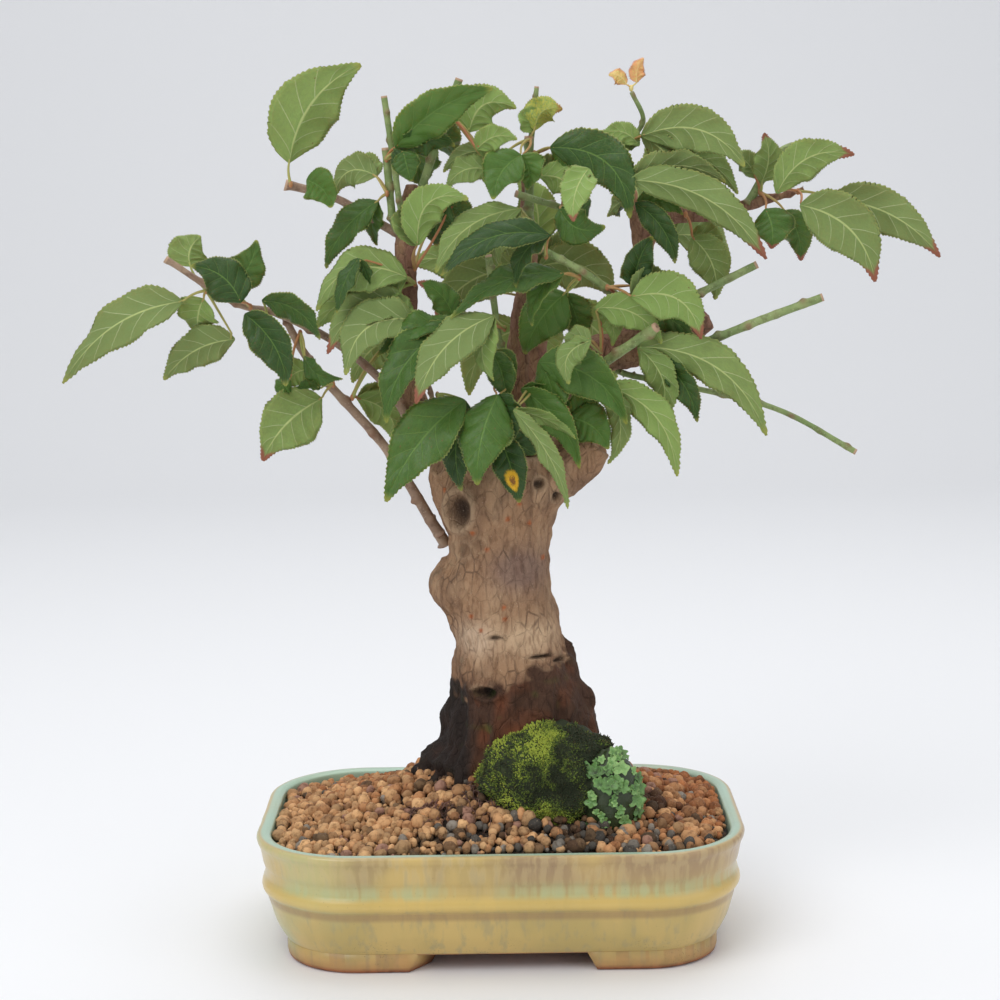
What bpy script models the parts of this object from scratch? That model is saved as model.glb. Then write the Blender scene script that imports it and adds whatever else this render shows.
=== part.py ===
# A small broadleaf bonsai in a glazed rectangular pot: pot with four corner feet, drain meshes,
# soil heaped to the root flare, moss and liverwort, a thick pruned trunk with its limbs,
# side branches and shoots cut back to stubs, and leaves in sprays, each grown from one bud.
# Metres, +Z up, -Y is the front. The origin is on the ground under the middle of the pot.
import bpy
import bmesh
import numpy as np
from mathutils import Vector
from mathutils.bvhtree import BVHTree

MM = 0.001
GAP = 0.0003                 # clearance between neighbouring pieces

# Pot
POT_LENGTH = 0.250           # outside, along X, at the rim
POT_WIDTH = 0.172            # outside, along Y, at the rim
POT_HEIGHT = 0.064           # ground to rim
POT_CORNER = 0.052           # corner radius at the rim
WALL = 0.0075
FLOOR_TOP = 0.018            # inside floor above the ground
FLOOR_UNDER = 0.009          # underside of the floor above the ground
BELT_HEIGHT = 0.037          # height of the raised belt round the wall
BELT_PROUD = 0.0016
FOOT_TAPER = 0.0135          # how far the bottom of the wall lies inside the rim
FOOT_BAND = 0.020            # width of the ring the feet are cut from
FOOT_GAP_LENGTH = 0.095      # opening between the feet along X, at the ground
FOOT_GAP_WIDTH = 0.062       # opening between the feet along Y
FOOT_SLANT = 0.55            # how far the cut ends of the feet lean over each opening, per height
DRAIN_HOLE = 0.009           # radius of a drain hole
DRAIN_OFFSET = 0.058         # drain holes either side of the middle
MESH_SIZE = 0.028
MESH_WIRE = 0.0012

# Soil
SOIL_DROP = 0.006            # soil below the rim along the wall
SOIL_RISE = 0.043            # height of the heap at the root flare above the soil at the wall
HEAP_X, HEAP_Y = 0.010, 0.002
HEAP_LENGTH, HEAP_WIDTH = 0.072, 0.054

# Plant
TRUNK_SCALE = 1.0            # girth of the trunk
ROOTING = 0.045              # extra depth of its base in the heap for each doubling of girth
LIMB_SCALE = 1.0             # girth of limbs, branches and shoots
LEAF_SCALE = 1.0             # breadth of the leaves
BUD = 0.0013                 # radius of a leaf bud
PETIOLE = 0.0007
BLADE = 0.00035              # half thickness of a leaf at its midrib

# The plant is set out as its front elevation, in millimetres across and up, as it is seen
# from a viewing distance a little above the crown's middle; depth is measured back from the
# upright plane through the middle of the pot.
SIGHT_MIDDLE = np.array([2.0, 0.0, 228.0])
SIGHT_DISTANCE = 1150.0
SIGHT_FALL = np.radians(8.4)
SIGHT_LEAN = np.radians(-0.8)
SET_OUT_RIM = 0.064          # rim height for which the elevation is set out

FORWARD = np.array([0.0, np.cos(SIGHT_FALL), -np.sin(SIGHT_FALL)])
LEVEL = np.array([1.0, 0.0, 0.0])
RISING = np.array([0.0, np.sin(SIGHT_FALL), np.cos(SIGHT_FALL)])
RIGHT = LEVEL * np.cos(SIGHT_LEAN) + RISING * np.sin(SIGHT_LEAN)
UPRIGHT = RISING * np.cos(SIGHT_LEAN) - LEVEL * np.sin(SIGHT_LEAN)
EYE = SIGHT_MIDDLE - FORWARD * SIGHT_DISTANCE


def lay(across, up, depth):
    """Point in metres of a place in the front elevation, given in millimetres."""
    ray = FORWARD * SIGHT_DISTANCE + RIGHT * (across - 2.0) + UPRIGHT * (up - 228.0) * 0.99
    point = (EYE + ray * (depth - EYE[1]) / ray[1]) * MM
    point[2] += POT_HEIGHT - SET_OUT_RIM
    return point


# Trunk sections from the root flare up: up, left edge, right edge, half depth, depth of middle
TRUNK = [
    (66, -50, 64, 44, 4), (84, -42, 58, 40, 3), (98, -34, 53, 36, 2), (112, -27, 50, 33, 1),
    (126, -21, 47, 30, 0), (142, -24, 40, 28, 0), (155, -22, 34, 27, 0), (167, -26, 31, 27, 0),
    (180, -34, 28, 27, 0), (188, -33, 28, 26, 0), (200, -24, 27, 25, 0), (214, -25, 27, 25, 0),
    (230, -34, 33, 26, 0), (240, -36, 37, 25, 0), (250, -34, 32, 21, 1), (260, -29, 25, 14, 2)]

# Wood: across, up, depth and radius of each point. The limbs are one growth with the trunk.
LIMBS = {
    "left_limb": [(-18, 236, 2, 12), (-29, 259, 2, 9.5), (-43, 280, 0, 7), (-49.5, 309, -2, 6),
                  (-46, 332, -3, 5.2), (-47, 364, -4, 5.4), (-43.5, 393, -4, 4.2)],
    "centre_limb": [(8, 236, 4, 11), (10, 262, 6, 8), (10.5, 291, 8, 6.5), (12.5, 322, 9, 5),
                    (16.5, 353, 10, 4.5), (15.5, 384, 9, 3.6), (15, 408, 8, 3)],
    "right_limb": [(14, 240, 0, 13), (25, 278, 0, 11.5), (43, 300, -2, 10.5), (62, 306, -4, 10),
                   (80, 310, -6, 9.5), (97, 315, -8, 7.5), (110, 323, -9, 6.2)],
    "broken_stub": [(24, 236, -4, 14), (42, 249, -9, 12), (52, 258, -11, 9)],
    "crown_limb": [(72, 310, -2, 8), (74.5, 330, 2, 6), (74.5, 353, 4, 5), (84, 375, 4, 4.6),
                   (105, 377, 3, 4), (129, 382, 0, 3.4), (160, 390.5, -4, 2.6)],
    "crown_shoot": [(75, 345, 4, 3.5), (72, 372, 4, 2.6), (66.5, 409, 4, 2.0)],
    "shoot_left_a": [(-48, 366, -5, 3.0), (-53.5, 376, -11, 2.1), (-57, 412, -12, 2.1)],
    "shoot_centre_low": [(10, 298, 8, 3.0), (2.5, 308, 1, 1.9), (-1, 330, -4, 1.8), (-4, 356, -5, 1.8)],
    "shoot_centre_up": [(16.3, 370, 9, 3.0), (17, 382, 2, 2.4), (17, 418, -2, 2.4)],
    "shoot_centre_tip": [(16, 405, 6, 2.4), (19, 423, -3, 1.4), (21, 444, -4, 1.2)],
    "shoot_top_right": [(130, 382, -0.5, 2.6), (145, 408, 2, 1.9), (157, 414, 3, 2.0)],
    "shoot_top": [(104, 377, 3, 3.0), (106, 396, 8, 2.1), (112, 428, 14, 2.0)],
    "back_limb": [(10, 250, 10, 9), (14, 285, 26, 7), (24, 322, 40, 5), (20, 358, 48, 3.6)],
}
BRANCHES = {
    "branch_long_left": [(-33.5, 217, 4, 3.0), (-46, 238, 0, 2.7), (-60, 259, -5, 2.5),
                         (-86, 288, -10, 2.3), (-100, 306, -12, 2.2), (-110, 325, -14, 1.8)],
    "branch_middle_left": [(-46.5, 272, -8, 2.3), (-57, 288, -13, 2.2), (-81, 309, -16, 2.1),
                           (-112, 325, -18, 2.0), (-135, 331, -21, 1.7), (-171, 354, -25, 1.6)],
    "twig_upper_left": [(-54.2, 369, -5, 2.4), (-68, 377, -6, 2.2), (-84, 386, -8, 2.1),
                        (-109, 393, -10, 2.3)],
    "dead_twig": [(-33.5, 283, -12, 1.3), (-32, 268, -16, 1.1), (-30, 252, -27.5, 1.2)],
    "shoot_left_b": [(-49.8, 383, -16.5, 1.7), (-54, 412, -16, 1.6), (-58, 439, -17, 1.6)],
    "shoot_left_c": [(-41.5, 381, -11.5, 2.2), (-31, 414, -16, 2.1), (-19, 448, -18, 2.0)],
    "shoot_front_top": [(33, 381, -10, 1.7), (10, 388, -16, 1.8)],
    "shoot_front": [(68, 331, -14, 2.0), (45, 347, -27, 1.9), (23, 359, -32, 2.0)],
    "shoot_low": [(46, 293, -16.5, 2.6), (83, 318.5, -38, 2.5)],
    "shoot_right_a": [(105, 336, -8, 2.1), (135, 351, -12, 2.0)],
    "shoot_right_b": [(106, 309.5, -21, 2.3), (137, 322, -26, 2.2), (169, 334, -29, 2.1)],
    "twig_right_low": [(70, 293, -3, 1.6), (95, 288, -4, 1.5), (145, 275.5, -8, 1.4),
                       (186, 253, -12, 1.5)],
    "shoot_young": [(67.5, 413.8, 2, 1.4), (76, 426, 0, 1.3), (70, 441, -2, 1.1)],
}

# Leaf sprays: place of the bud, then each leaf as the foot of its blade (across, up, depth),
# its tip (across, up, depth), bow of the midrib, breadth, turn about the midrib in degrees
# and the side it turns to the front: 1 the dark upper side, -1 the pale underside.
SPRAYS = {
    "leaves_far_left": ((-150, 337, -20), [
        (-162, 331.5, -24, -224, 288, -6, 9, 26, 18, -1),
        (-151, 333, -18, -153, 312, -8, 2, 23, 10, -1),
        (-135, 312, -14, -172, 290, -10, 5, 22, -25, -1),
        (-158, 350, -22, -152, 366, -14, 3, 22, 15, -1)]),
    "leaves_mint_left": ((-127, 329, -22), [
        (-132, 331, -34, -158, 350, -38, 5, 24, 15, 1),
        (-137, 339, -26, -124, 364, -20, -3, 19, 25, 1)]),
    "leaves_bitten_left": ((-118, 325, -20), [
        (-130, 325, -34, -108, 287, -40, 5, 24, 10, 1),
        (-121, 332, -26, -91, 311, -32, 6, 15, 30, 1)]),
    "leaves_low_left": ((-85, 288, -12), [
        (-90, 281, -16, -121, 248, -24, 4, 30, -15, -1),
        (-91, 286, -22, -103, 285, -26, 2, 9, 30, 1)]),
    "leaves_left_inner": ((-76, 280, -8), [
        (-72, 281, -2, -53, 253, 4, 9, 20, 10, -1),
        (-50, 314, 4, -74, 289, 8, 5, 24, 10, -1)]),
    "leaves_left_small": ((-104, 314, -13), [
        (-99, 303, -22, -79, 293, -26, -5, 12, 40, 1),
        (-97, 296, -10, -110, 285, -6, 3, 16, 15, -1),
        (-106, 290, -18, -114, 284, -18, 1, 10, 20, 1)]),
    "leaves_arch_left": ((-42, 341, -9), [
        (-46, 344, -22, -94, 326, -34, 13, 26, 22, -1),
        (-58, 332, -8, -93, 317, -6, 7, 22, 10, -1),
        (-71, 354, -32, -82, 325, -40, 2, 11, 35, 1)]),
    "leaves_pale_left": ((-40, 324, -10), [
        (-42, 322, -28, -77, 292, -44, 12, 25, 20, -1),
        (-44, 329, -14, -87, 303, -20, 11, 20, 15, -1)]),
    "leaves_dark_left": ((-20, 320, -2), [
        (-21, 319, -34, -57, 267, -50, 9, 25, 25, 1),
        (-22, 322, -16, -41, 342, -22, 4, 15, 20, 1)]),
    "leaves_front_pale": ((3, 317, 0), [
        (-1, 324, -46, -41, 277, -62, 8, 24, 20, -1)]),
    "leaves_front_long": ((-12, 284, -8), [
        (-16, 280, -36, -57, 226, -54, 5, 31, 15, 1)]),
    "leaves_tall_left": ((-106, 393.5, -14), [
        (-107, 404, -14, -69, 456, -22, 8, 36, 28, -1)]),
    "leaves_bright_left": ((-97, 390, -14), [
        (-98, 395, -22, -85, 380, -28, 3, 22, 5, 1)]),
    "leaves_high_left": ((-56, 388, -14), [
        (-62, 397, -12, -84, 386, -6, 8, 19, 15, -1),
        (-61, 384, -12, -89, 348, -8, 4, 17, 20, 1)]),
    "leaves_top_left": ((-56, 406, -16), [
        (-52, 412, -24, -1, 443, -34, 5, 26, 25, 1),
        (-48, 410, -32, -44, 394, -36, 0, 15, 10, 1),
        (-35, 421, -8, -36, 391, 6, 5, 28, 10, 1)]),
    "leaves_limb_left": ((-41, 349, -10), [
        (-40.5, 361, -28, -13, 385, -44, 12, 21, 15, -1),
        (-24, 382, -2, -31, 360, 8, 3, 21, 15, 1)]),
    "leaves_crown_left": ((-24, 428, -18), [
        (-14, 420, -14, 11, 432, -10, 9, 24, 20, -1),
        (-10, 411, -26, 11, 416, -32, 4, 13, 15, -1),
        (-3, 400, -20, -26, 390, -26, 5, 15, 15, -1)]),
    "leaves_crown_yellow": ((18, 416, -2), [
        (20, 421, 6, 34, 432, 10, 5, 20, 10, -1),
        (3, 407, -14, -28, 399, -22, 6, 13, 15, -1),
        (13, 408, -28, -1, 384, -38, 4, 22, 10, 1)]),
    "leaves_crown_arch": ((19, 409, -3), [
        (28, 412, -18, 69, 374, -30, 13, 25, 12, 1),
        (22, 397, -16, 40, 382, -20, 6, 18, 15, -1)]),
    "leaves_crown_bowl": ((32, 381, -10), [
        (48, 401, -34, 40, 373, -44, 3, 16, 10, -1),
        (33, 380, -24, 57, 371, -30, -6, 19, 20, 1)]),
    "leaves_mid_upper": ((17, 375, 4), [
        (13, 380, -30, -32, 346, -44, 8, 21, 18, -1)]),
    "leaves_mid_middle": ((26, 357, -32), [
        (28, 366, -48, -29, 344, -58, 9, 18, 25, 1)]),
    "leaves_mid_lower": ((44, 345, -26), [
        (35, 346, -36, -23, 321, -46, 8, 17, 30, 1),
        (36, 336, -16, 14, 303, -8, 3, 25, 10, 1)]),
    "leaves_fork_right": ((54, 305, -16), [
        (49, 311, -42, 38, 288, -48, 7, 15, 15, -1),
        (51, 328, -22, 86, 309, -28, 7, 17, 20, -1)]),
    "leaves_front_dark": ((1, 290, -2), [
        (-2, 305, -22, 5, 279, -30, 2, 18, 10, 1),
        (1, 283, -40, -10, 235, -54, 3, 27, 10, 1),
        (2, 261, -34, 12, 226, -42, 1, 19, 8, 1)]),
    "leaves_front_right": ((16, 288, -8), [
        (9, 275, -50, 38, 223, -58, 4, 12, 35, -1),
        (13, 286, -24, 44, 244, -36, 5, 17, 20, 1)]),
    "leaves_middle_right": ((30, 292, -12), [
        (22, 300, -34, 68, 267, -44, 9, 26, 12, 1),
        (38, 271, -20, 58, 254, -26, 4, 21, 10, 1)]),
    "leaves_right_low": ((56, 298, -16), [
        (55, 288, -26, 93, 239, -36, 11, 20, 22, -1)]),
    "leaves_crown_right": ((66, 411, 1), [
        (75, 418, -14, 129, 401, -28, 11, 24, 12, -1),
        (74, 413, -6, 52, 417, -2, 5, 11, 15, -1)]),
    "leaves_crown_far": ((104, 392, 5), [
        (90, 409, -2, 125, 387, -10, 6, 18, 15, -1)]),
    "leaves_long_right": ((70, 391, 0), [
        (69, 395, -36, 140, 352, -52, 11, 26, 20, -1),
        (72, 383, -18, 93, 351, -26, 4, 17, 15, 1)]),
    "leaves_inner_right": ((64, 335, -24), [
        (70, 334, -34, 106, 311, -40, 11, 24, 14, -1),
        (71, 340, -28, 81, 366, -34, 2, 21, 5, 1),
        (67, 328, -16, 102, 311, -20, 5, 21, 10, 1)]),
    "leaves_behind_right": ((98, 377, 4), [
        (101, 365, 12, 113, 332, 16, 5, 20, 10, -1)]),
    "leaves_lower_right": ((74, 304, -18), [
        (73, 308, -34, 140, 260, -50, 14, 24, 18, -1),
        (84, 302, -24, 104, 268, -28, 4, 15, 25, 1)]),
    "leaves_end_upper": ((137, 386, -2), [
        (137, 394, -8, 138, 420, -16, 3, 17, 20, -1),
        (134, 396, 4, 119, 409, 10, 3, 12, 15, -1),
        (139, 380, -20, 142, 359, -26, 2, 23, 5, 1),
        (149, 379, -12, 157, 352, -8, 3, 16, 15, 1)]),
    "leaves_end_right": ((156, 389, -7), [
        (145, 388, -22, 186, 408, -26, 9, 21, 15, -1),
        (157, 382, -28, 196, 341, -34, 9, 28, 12, -1),
        (172, 385, -10, 230, 354, -32, 7, 24, 12, -1)]),
    "leaves_young": ((70, 442.5, -2), [
        (67, 445, -4, 58, 450, -6, 2, 9, 15, -1),
        (73, 446, -3, 77, 459, -3, 2, 8, 15, -1)]),
    "leaves_back_a": ((22, 345, 44), [
        (22, 350, 54, 62, 330, 74, 10, 28, 20, -1),
        (14, 348, 54, -32, 318, 72, 10, 28, -20, -1),
        (20, 362, 52, 10, 398, 60, 6, 26, 10, -1)]),
    "leaves_back_b": ((24, 328, 44), [
        (34, 326, 52, 60, 288, 68, 10, 28, 20, -1),
        (16, 318, 56, -14, 282, 70, 10, 28, -20, -1),
        (2, 336, 50, -50, 350, 56, 10, 26, 15, -1)]),
    "leaves_back_c": ((86, 372, 12), [
        (92, 366, 30, 120, 340, 62, 10, 28, -15, -1),
        (74, 380, 26, 52, 398, 56, 8, 26, 15, -1),
        (84, 392, 20, 104, 412, 40, 8, 24, 15, -1)]),
}


def smooth_ring(points, count):
    """Closed ring of count points at equal parameter steps round an outline."""
    points = np.asarray(points)
    closed = np.vstack([points, points[:1]])
    steps = np.concatenate([[0], np.cumsum(np.linalg.norm(np.diff(closed, axis=0), axis=1))])
    wanted = np.linspace(0, steps[-1], count, endpoint=False)
    return np.column_stack([np.interp(wanted, steps, closed[:, i]) for i in range(2)])


def rounded_outline(length, width, corner, segments=6):
    """Rounded rectangle, the same count of points at every size, from the +X side round."""
    corner = min(corner, length / 2 * 0.98, width / 2 * 0.98)
    points = []
    for turn, (sx, sy) in enumerate([(1, 1), (-1, 1), (-1, -1), (1, -1)]):
        for step in range(segments + 1):
            angle = np.pi / 2 * (turn + step / segments)
            points.append((sx * (length / 2 - corner) + corner * np.cos(angle),
                           sy * (width / 2 - corner) + corner * np.sin(angle)))
    return np.array(points)


def mesh_object(name, vertices, faces, material=None):
    mesh = bpy.data.meshes.new(name)
    mesh.from_pydata([tuple(v) for v in vertices], [], [tuple(f) for f in faces])
    shape = bmesh.new()
    shape.from_mesh(mesh)
    if shape.calc_volume(signed=True) < 0:
        bmesh.ops.reverse_faces(shape, faces=shape.faces)
    shape.to_mesh(mesh)
    shape.free()
    thing = bpy.data.objects.new(name, mesh)
    if material:
        mesh.materials.append(material)
    return thing


def loft(rings, bottom=None, top=None):
    """Closed body through rings of equal count, each end closed by a point or a flat cap."""
    count = len(rings[0])
    vertices = [tuple(p) for ring in rings for p in ring]
    faces = []
    for level in range(len(rings) - 1):
        for i in range(count):
            j = (i + 1) % count
            a, b = level * count, (level + 1) * count
            faces.append((a + i, a + j, b + j, b + i))
    last = (len(rings) - 1) * count
    if bottom is None:
        faces.append(tuple(range(count))[::-1])
    else:
        vertices.append(tuple(bottom))
        point = len(vertices) - 1
        faces += [(point, (i + 1) % count, i) for i in range(count)]
    if top is None:
        faces.append(tuple(range(last, last + count)))
    else:
        vertices.append(tuple(top))
        point = len(vertices) - 1
        faces += [(point, last + i, last + (i + 1) % count) for i in range(count)]
    return vertices, faces


def leaf_shape(rings, tip):
    """Closed leaf in triangles whose diagonals match on both sides, so the sides never cross."""
    vertices = [tuple(p) for ring in rings for p in ring] + [tuple(tip)]
    faces = [(0, 2, 1), (0, 3, 2)]
    for level in range(len(rings) - 1):
        a, b = 4 * level, 4 * level + 4
        for i in range(4):
            j = (i + 1) % 4
            if i % 2 == 0:
                faces += [(a + i, a + j, b + j), (a + i, b + j, b + i)]
            else:
                faces += [(a + i, a + j, b + i), (a + j, b + j, b + i)]
    last = 4 * len(rings) - 4
    faces += [(last + i, last + (i + 1) % 4, last + 4) for i in range(4)]
    return vertices, faces


def material(name, colour, roughness, metallic=0.0):
    made = bpy.data.materials.new(name)
    made.use_nodes = True
    shader = made.node_tree.nodes["Principled BSDF"]
    shader.inputs["Base Color"].default_value = (*colour, 1.0)
    shader.inputs["Roughness"].default_value = roughness
    shader.inputs["Metallic"].default_value = metallic
    made.diffuse_color = (*colour, 1.0)
    return made


def tube_rings(points, extra=0.0, sides=12, scale=1.0):
    """Rings round a tapering tube through laid-out points, widened by extra."""
    line = np.array([lay(a, u, d) for a, u, d, r in points])
    radii = np.array([r * MM * scale for a, u, d, r in points]) + extra
    tangents = np.gradient(line, axis=0)
    tangents /= np.linalg.norm(tangents, axis=1)[:, None]
    side = np.cross(tangents, [0.13, 0.97, 0.21])
    side /= np.linalg.norm(side, axis=1)[:, None]
    other = np.cross(tangents, side)
    angle = np.linspace(0, 2 * np.pi, sides, endpoint=False)
    rings = []
    for p, r, s, o in zip(line, radii, side, other):
        rings.append(p + r * (np.cos(angle)[:, None] * s + np.sin(angle)[:, None] * o))
    return rings


def trunk_rings(extra=0.0, sides=24):
    """Rings of the trunk: ovals with a few shallow lobes that twist slowly with height."""
    rings = []
    for number, (up, left, right, half_depth, depth) in enumerate(TRUNK):
        middle = lay((left + right) / 2, up, depth)
        across = (right - left) / 2 * MM * TRUNK_SCALE
        deep = half_depth * MM * TRUNK_SCALE
        angle = np.linspace(0, 2 * np.pi, sides, endpoint=False)
        lobes = 1 + 0.035 * np.sin(3 * angle + number * 0.35) * np.abs(np.sin(angle))
        ring = np.column_stack([across * np.cos(angle), deep * np.sin(angle) * lobes])
        grow = extra / np.linalg.norm(ring, axis=1)[:, None] + 1
        ring = ring * grow
        sunk = ROOTING * max(TRUNK_SCALE - 1, 0)
        ends = {0: -extra - sunk, len(TRUNK) - 1: extra}
        level = np.full(sides, middle[2] + ends.get(number, 0.0))
        rings.append(np.column_stack([middle[0] + ring[:, 0], middle[1] + ring[:, 1], level]))
    return rings


def soil_height(x, y):
    """Height of the soil: level along the wall, heaped up round the root flare."""
    reach = ((x - HEAP_X) / HEAP_LENGTH) ** 2 + ((y - HEAP_Y) / HEAP_WIDTH) ** 2
    return POT_HEIGHT - SOIL_DROP + SOIL_RISE * np.exp(-reach)


def blade_width(t):
    """Half breadth of a leaf along its midrib: broad low down, drawn out to a long tip."""
    return np.interp(t, [0, 0.06, 0.16, 0.32, 0.5, 0.7, 0.86, 1.0],
                     [0.10, 0.42, 0.80, 1.0, 0.93, 0.60, 0.24, 0.02])


def leaf_rings(bud, leaf, shift, thick=BLADE, wider=0.0):
    """Rings of one leaf from its bud: a thin petiole, then the folded blade to its tip."""
    a0, u0, d0, a1, u1, d1, bow, breadth, turn, face = leaf
    foot = lay(a0, u0, d0 + shift * 0.5)
    tip = lay(a1, u1, d1 + shift)
    chord = tip - foot
    length = np.linalg.norm(chord)
    toward = -FORWARD
    lift = np.cross(chord, toward)
    lift /= np.linalg.norm(lift)
    if lift[2] < 0:
        lift = -lift
    middle = (foot + tip) / 2 + lift * bow * MM * 2 + toward * length * 0.10
    rings = []
    for t in (0.0, 0.14, 0.30, 0.50, 0.70, 0.87):
        place = (1 - t) ** 2 * foot + 2 * t * (1 - t) * middle + t * t * tip
        along = 2 * (1 - t) * (middle - foot) + 2 * t * (tip - middle)
        along /= np.linalg.norm(along)
        plain = toward - along * (toward @ along)
        plain /= np.linalg.norm(plain)
        spin = np.cross(along, plain)
        angle = np.radians(turn)
        upper = (plain * np.cos(angle) + spin * np.sin(angle)) * face
        side = np.cross(along, upper)
        half = breadth / 2 * MM * LEAF_SCALE * blade_width(t) + wider
        fold = np.radians(24)
        out, raised = half * np.cos(fold), half * np.sin(fold)
        if t == 0.0:
            out, raised = PETIOLE + wider, 0.0
        rim_left = place + side * out + upper * raised
        rim_right = place - side * out + upper * raised
        rings.append([place + upper * thick, rim_left, place - upper * thick, rim_right])
    first = rings[0]
    ahead = foot - bud
    reach = np.linalg.norm(ahead)
    ahead /= max(reach, 1e-9)
    heading = middle - foot
    heading /= np.linalg.norm(heading)
    upper = np.array(first[0]) - np.array(first[2])
    stem = PETIOLE + wider * 0.6
    lead = []
    for share, blend in ((0.0, 0.0), (0.5, 0.25), (1.0, 0.6)):
        place = bud + ahead * reach * share + lift * reach * 0.35 * share * (1 - share)
        way = ahead * (1 - blend) + heading * blend
        way /= np.linalg.norm(way)
        turned = Vector(heading).rotation_difference(Vector(way))
        top = np.array(turned @ Vector(upper))
        top -= way * (top @ way)
        top /= np.linalg.norm(top)
        side = np.cross(way, top)
        lead.append([place + top * stem, place + side * stem, place - top * stem,
                     place - side * stem])
    rings = rings[1:]
    return lead + rings, tip


def tree_of(vertices, faces):
    return BVHTree.FromPolygons([Vector(v) for v in vertices], faces, epsilon=0.0)


def seat(point, shells):
    """Place of a bud on the nearest wood, its own radius and the clearance off the bark."""
    best = None
    for shell in shells:
        near, normal, _, far = shell.find_nearest(Vector(point))
        if near is not None and (best is None or far < best[0]):
            best = (far, near, normal)
    far, near, normal = best
    return np.array(near + normal * (BUD + GAP * 1.6))


def settled(home, leaf, shells, walls, placed):
    """Smallest depth shift at which a leaf is clear of the wood and of the leaves in place."""
    for step in range(25):
        shift = 4.0 * ((step + 1) // 2) * (1 if step % 2 else -1)
        rings, tip = leaf_rings(home, leaf, shift, 0.0011, 0.0009)
        blade = tree_of(*leaf_shape(rings[3:], tip))
        if any(blade.overlap(wall) for wall in walls):
            continue
        whole = tree_of(*leaf_shape(rings, tip))
        if any(whole.overlap(other) for other in placed):
            continue
        rings, tip = leaf_rings(home, leaf, shift, BLADE, 0.0002)
        bare = tree_of(*leaf_shape(rings, tip))
        if any(bare.overlap(shell) for shell in shells):
            continue
        return shift
    return None


def settle():
    """Depth shifts that let every leaf hang clear of the wood and of the other sprays."""
    tubes = [(p, LIMB_SCALE) for p in list(LIMBS.values()) + list(BRANCHES.values())]
    shells = [tree_of(*loft(trunk_rings()))]
    walls = [tree_of(*loft(trunk_rings(0.0012)))]
    for points, scale in tubes:
        shells.append(tree_of(*loft(tube_rings(points, 0.0, 12, scale * 1.035))))
        walls.append(tree_of(*loft(tube_rings(points, 0.0012, 10, scale))))
    placed, result = [], {}
    for name, (bud, leaves) in SPRAYS.items():
        best = None
        for offset in (0, -7, 7, -14, 14, -21, 21):
            home = seat(lay(bud[0], bud[1], bud[2] + offset), shells)
            rows = [(leaf, settled(home, leaf, shells, walls, placed)) for leaf in leaves]
            count = sum(shift is not None for leaf, shift in rows)
            if best is None or count > best[0]:
                best = (count, home, rows)
            if count == len(leaves):
                break
        count, home, rows = best
        for leaf, shift in rows:
            if shift is not None:
                rings, tip = leaf_rings(home, leaf, shift, 0.0011, 0.0009)
                placed.append(tree_of(*leaf_shape(rings, tip)))
        result[name] = (home, rows)
    return result


for old in list(bpy.data.objects):
    bpy.data.objects.remove(old)

parts = bpy.data.collections.new("bonsai_in_pot")
bpy.context.scene.collection.children.link(parts)
guides = bpy.data.collections.new("cutters")
bpy.context.scene.collection.children.link(guides)

GLAZE = material("pot_glaze", (0.56, 0.47, 0.24), 0.35)
NET = material("drain_net", (0.05, 0.06, 0.05), 0.6)
EARTH = material("akadama_soil", (0.42, 0.24, 0.12), 0.95)
BARK = material("bark", (0.27, 0.17, 0.11), 0.9)
TWIG = material("young_bark", (0.33, 0.22, 0.15), 0.8)
SHOOT = material("green_shoot", (0.25, 0.33, 0.13), 0.6)
MOSS = material("moss", (0.20, 0.30, 0.05), 0.95)
WORT = material("liverwort", (0.17, 0.38, 0.10), 0.55)
LEAF = material("leaf", (0.17, 0.33, 0.08), 0.5)
YOUNG = material("young_leaf", (0.75, 0.45, 0.18), 0.5)


def keep(thing):
    parts.objects.link(thing)
    return thing


def cutter(thing):
    guides.objects.link(thing)
    thing.hide_render = True
    thing.display_type = "WIRE"
    return thing


def combine(thing, other, operation):
    change = thing.modifiers.new(operation.title(), "BOOLEAN")
    change.operation = operation
    change.solver = "MANIFOLD"
    change.object = cutter(other)
    return thing


def tube_object(name, points, skin):
    """Branch as a bevelled poly curve with filled caps, made a mesh and welded."""
    curve = bpy.data.curves.new(name + "_line", "CURVE")
    curve.dimensions = "3D"
    curve.bevel_depth = MM
    curve.bevel_resolution = 2
    curve.use_fill_caps = True
    spline = curve.splines.new("POLY")
    spline.points.add(len(points) - 1)
    for place, (a, u, d, r) in zip(spline.points, points):
        place.co = (*lay(a, u, d), 1.0)
        place.radius = r * LIMB_SCALE
    line = bpy.data.objects.new(name + "_line", curve)
    bpy.context.scene.collection.objects.link(line)
    bpy.context.view_layer.update()
    ready = line.evaluated_get(bpy.context.evaluated_depsgraph_get())
    mesh = bpy.data.meshes.new_from_object(ready)
    bpy.data.objects.remove(line)
    shape = bmesh.new()
    shape.from_mesh(mesh)
    bmesh.ops.remove_doubles(shape, verts=shape.verts, dist=0.00002)
    bmesh.ops.recalc_face_normals(shape, faces=shape.faces)
    shape.to_mesh(mesh)
    shape.free()
    mesh.name = name
    mesh.materials.clear()
    mesh.materials.append(skin)
    mesh.shade_smooth()
    return bpy.data.objects.new(name, mesh)


def block(name, size, middle):
    bpy.ops.mesh.primitive_cube_add(size=1.0, location=middle)
    box = bpy.context.object
    box.name = name
    for vertex in box.data.vertices:
        vertex.co = [c * s for c, s in zip(vertex.co, size)]
    for group in list(box.users_collection):
        group.objects.unlink(box)
    return box


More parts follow.
